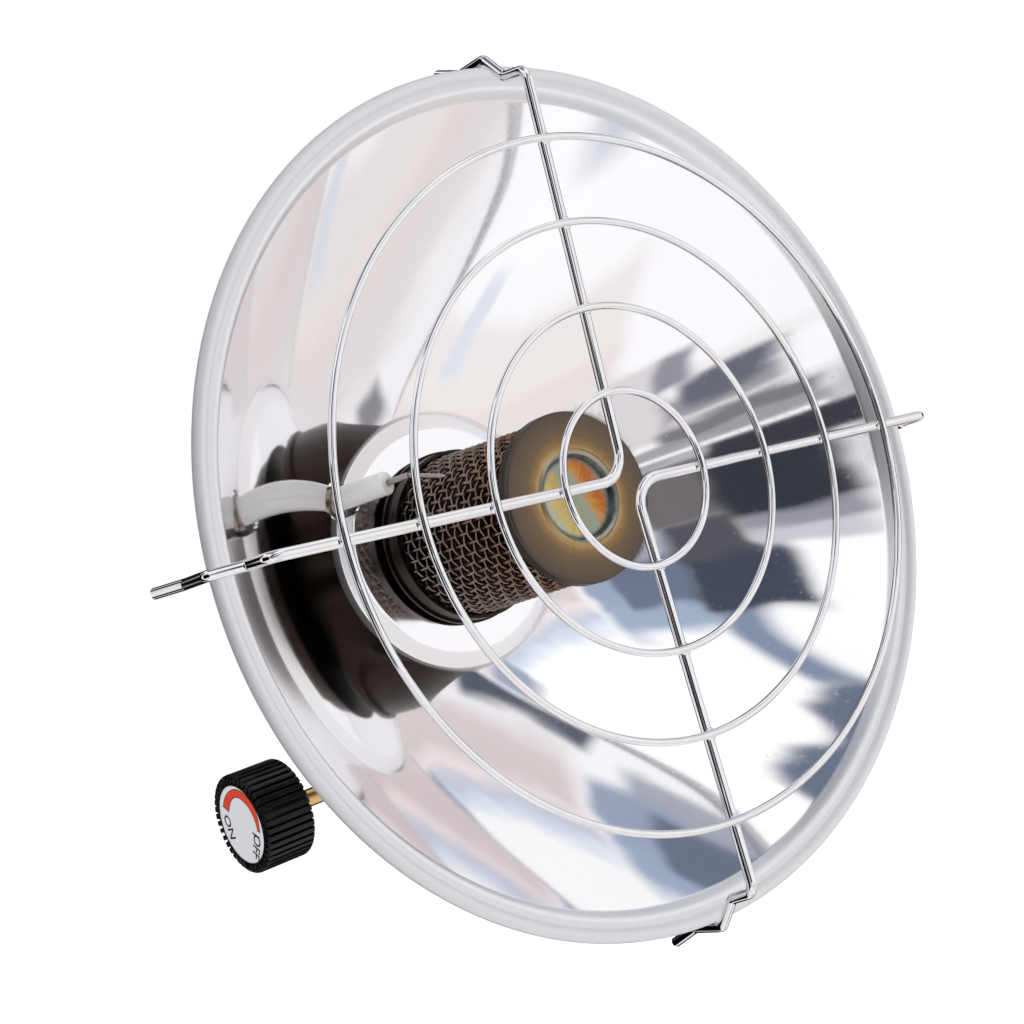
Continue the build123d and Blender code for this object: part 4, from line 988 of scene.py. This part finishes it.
floor_mesh = bpy.data.meshes.new("floor")
floor_corners = [(-1, -1), (1, -1), (1, 1), (-1, 1)]
floor_points = [(x * FLOOR_REACH, y * FLOOR_REACH, FLOOR_HEIGHT) for x, y in floor_corners]
floor_mesh.from_pydata(floor_points, [], [(0, 1, 2, 3)])
floor_paint = Finish("floor_paint", (0.80, 0.80, 0.81), 0.0, 0.9)
floor_paint.colour(floor_paint.mix(floor_paint.noise(3, 2), (0.79, 0.79, 0.80), (0.82, 0.82, 0.83)))
floor = finished("floor", floor_mesh, floor_paint)
paint = floor_paint.tree
floor_glow = add(paint, "ShaderNodeEmission", {}, {"Color": (1, 1, 1, 1), "Strength": 0.66})
floor_sum = add(paint, "ShaderNodeAddShader", {}, {
    0: floor_paint.shader.outputs[0], 1: floor_glow.outputs[0],
})
floor_look = see_white(paint, floor_paint.shader.outputs[0], floor_sum.outputs[0])
paint.links.new(floor_look, paint.nodes["Material Output"].inputs["Surface"])
floor.visible_glossy = False
floor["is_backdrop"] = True


TENT_RADIUS = 3.0
TENT_GLOW = 1.12
tent = Finish("tent_cloth", (0, 0, 0), 0.0, 1.0)
tent_x, tent_y, tent_z = tent.split(tent.spot)
folds = tent.noise(0.9, 2) - 0.5
frayed = tent.noise(3.0, 1, (1.0, 1.0, 0.6)) - 0.5
pleats = tent.noise(2.2, 1, (1.0, 1.0, 2.0)) - 0.5
azimuth = tent.maths_of("ARCTAN2", tent_x, tent_y * -1) * (180 / math.pi) + folds * 9 + frayed * 3
elevation = tent.maths_of("ARCSINE", tent_z / TENT_RADIUS) * (180 / math.pi)
rise = elevation + pleats * 6 + frayed * 2
VIEW_ACROSS, VIEW_DEPTH = 0.595, 0.803
ahead = (tent_x * VIEW_ACROSS + tent_y * VIEW_DEPTH) / TENT_RADIUS
behind = tent.maths_of("ARCCOSINE", ahead) * (180 / math.pi)


def seen(red, green, blue):
    """Linear light of a colour given as the eye sees it."""
    return red**2.2, green**2.2, blue**2.2


def wall(under, shade, sides, heights, soft=2.0, lift=None):
    """Lays a patch of that shade between two azimuths and two heights, in degrees."""
    lift = lift or rise
    cover = tent.ease(azimuth, sides[0] - soft, sides[0] + soft)
    cover = cover * tent.ease(azimuth, sides[1] + soft, sides[1] - soft)
    cover = cover * tent.ease(lift, heights[0] - soft, heights[0] + soft)
    cover = cover * tent.ease(lift, heights[1] + soft, heights[1] - soft)
    return tent.mix(cover, under, seen(*shade))


TENT_BANDS = (
    (-90, (0.68, 0.70, 0.74)), (-79, (0.80, 0.82, 0.85)), (-75, (0.98, 0.98, 0.99)),
    (-61, (0.97, 0.97, 0.98)), (-56, (0.92, 0.90, 0.90)), (-43, (0.92, 0.90, 0.89)),
    (-38, (0.90, 0.87, 0.865)), (-26, (0.90, 0.885, 0.88)), (-20, (0.97, 0.97, 0.98)),
    (20, (0.96, 0.96, 0.97)), (25, (0.86, 0.82, 0.82)), (34, (0.85, 0.81, 0.81)),
    (38, (0.94, 0.90, 0.90)), (42, (0.78, 0.80, 0.86)), (45, (0.84, 0.88, 0.94)), (49, (1, 1, 1)),
    (90, (1, 1, 1)),
)
look = tent.ramp((rise + 90) / 180, *[((at + 90) / 180, seen(*shade)) for at, shade in TENT_BANDS])
# Every patch: its shade, its azimuths, its heights, how soft its edges are, and for the few that
# hang straight the height that they go by. The others wave with the tent's pleats.
TENT_PATCHES = (
    ((0.99, 0.99, 1.0), (-75, -12), (8, 62), 3),
    ((0.975, 0.97, 0.985), (-75, -38), (-70, -25), 3),
    ((0.66, 0.68, 0.73), (-40, -19), (19, 32), 2),
    ((0.60, 0.65, 0.74), (-26, -14), (25, 42), 1.5),
    ((0.62, 0.68, 0.77), (-38, -14), (38, 50), 3),
    ((0.42, 0.46, 0.54), (-38, -22), (27, 42), 1.5),
    ((0.50, 0.55, 0.64), (-45, -37), (42, 65), 2.5),
    ((0.27, 0.29, 0.35), (-53, -37), (27, 46), 1.5),
    ((0.78, 0.78, 0.81), (-60, -50), (19, 29), 1.5),
    ((0.58, 0.58, 0.61), (-61, -50), (19, 24), 1.5),
    ((0.33, 0.33, 0.36), (-50, -37), (18, 30), 1.5),
    ((0.43, 0.42, 0.43), (-51, -36), (-2, 19), 1.5),
    ((0.22, 0.23, 0.26), (-62, -49), (1, 20), 1.5),
    ((0.64, 0.63, 0.65), (-63, -37), (-6.5, -2), 1),
    ((0.84, 0.83, 0.84), (-47, -34), (-31, -9), 2),
    ((0.48, 0.47, 0.50), (-62, -44), (-12, -6), 1.5),
    ((0.60, 0.59, 0.62), (-59, -45), (-18, -13), 1.5),
    ((0.40, 0.41, 0.46), (-58, -49), (-22, -16), 1.5),
    ((0.56, 0.56, 0.60), (-51, -45), (-31, -22), 1.5),
    ((0.72, 0.72, 0.74), (-67, -63), (-14, 14), 1),
    ((0.34, 0.37, 0.42), (-14, 6), (8, 19), 1.5),
    ((0.55, 0.56, 0.58), (2, 9), (-22, -15), 1.5),
    ((0.62, 0.66, 0.72), (39, 52), (40, 50), 2),
    ((0.86, 0.88, 0.92), (25, 36), (-66, -48), 2),
    ((0.24, 0.24, 0.27), (-65, -50), (-3, 3), 0.7, elevation),
    ((0.02, 0.02, 0.03), (-112, -67), (-26, 26), 1.0, elevation),
    ((0.02, 0.02, 0.03), (-38, -13), (-11, 8), 1.0, elevation),
    ((0.98, 0.98, 1.0), (-62, -40), (-4.2, -3.2), 0.5, elevation),
    ((0.06, 0.06, 0.07), (-155, -126), (-55, 55), 4),
)
for patch in TENT_PATCHES:
    look = wall(look, *patch)
brow = rise + tent.ease(azimuth, -5, -46) * 13 + tent.ease(azimuth, 10, 30) * 1.4
look = tent.mix(tent.ease(brow, 75.5, 78.0), look, seen(0.40, 0.44, 0.52))
flag = tent.ease(behind, 12, 20) * tent.ease(behind, 66, 58)
look = tent.mix(flag, look, seen(0.12, 0.12, 0.13))
for heights in ((11, 36), (-36, -11)):
    look = wall(look, (0.86, 0.83, 0.82), (84, 130), heights, 1.5)
glow = tent.node("ShaderNodeEmission", {}, {"Color": look, "Strength": TENT_GLOW})
tent.tree.links.new(glow.socket, tent.tree.nodes["Material Output"].inputs["Surface"])

dome = bmesh.new()
bmesh.ops.create_icosphere(dome, subdivisions=5, radius=TENT_RADIUS)
dome_mesh = bpy.data.meshes.new("studio_tent")
dome.to_mesh(dome_mesh)
dome.free()
studio_tent = finished("studio_tent", dome_mesh, tent)
studio_tent.location = AIM
studio_tent.visible_camera = False
studio_tent.visible_diffuse = False
studio_tent.visible_shadow = False
studio_tent.visible_transmission = False
studio_tent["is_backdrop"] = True


def lamp(name, place, size, power):
    """A square soft white lamp that faces the reflector."""
    light = bpy.data.lights.new(name, "AREA")
    light.size = size
    light.energy = power
    holder = bpy.data.objects.new(name, light)
    holder.location = place
    holder.visible_glossy = False
    holder.rotation_euler = (AIM - Vector(place)).to_track_quat("-Z", "Y").to_euler()
    bpy.context.scene.collection.objects.link(holder)


lamp("key", (-0.9, -1.1, 1.2), 0.7, 14)
lamp("fill", (1.1, -0.9, 0.5), 0.9, 6)
lamp("rim", (0.3, 1.1, 0.9), 0.9, 8)

CAMERA_PLACE = (-0.32496, -0.52467, 0.08474)
CAMERA_LENS = 69.783
CAMERA_SENSOR = 36
camera_data = bpy.data.cameras.new("camera")
camera_data.lens = CAMERA_LENS
camera_data.sensor_width = CAMERA_SENSOR
camera = bpy.data.objects.new("camera", camera_data)
bpy.context.scene.collection.objects.link(camera)
CAMERA_RIGHT = Vector((0.76600, -0.56420, -0.30809))
CAMERA_UP = Vector((0.24221, -0.19064, 0.95131))
CAMERA_BACK = Vector((-0.59546, -0.80333, -0.00937))
facing = Matrix((CAMERA_RIGHT, CAMERA_UP, CAMERA_BACK)).transposed().to_4x4()
camera.matrix_world = Matrix.Translation(CAMERA_PLACE) @ facing
bpy.context.scene.camera = camera
bpy.context.scene.view_settings.view_transform = "Standard"

low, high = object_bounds()
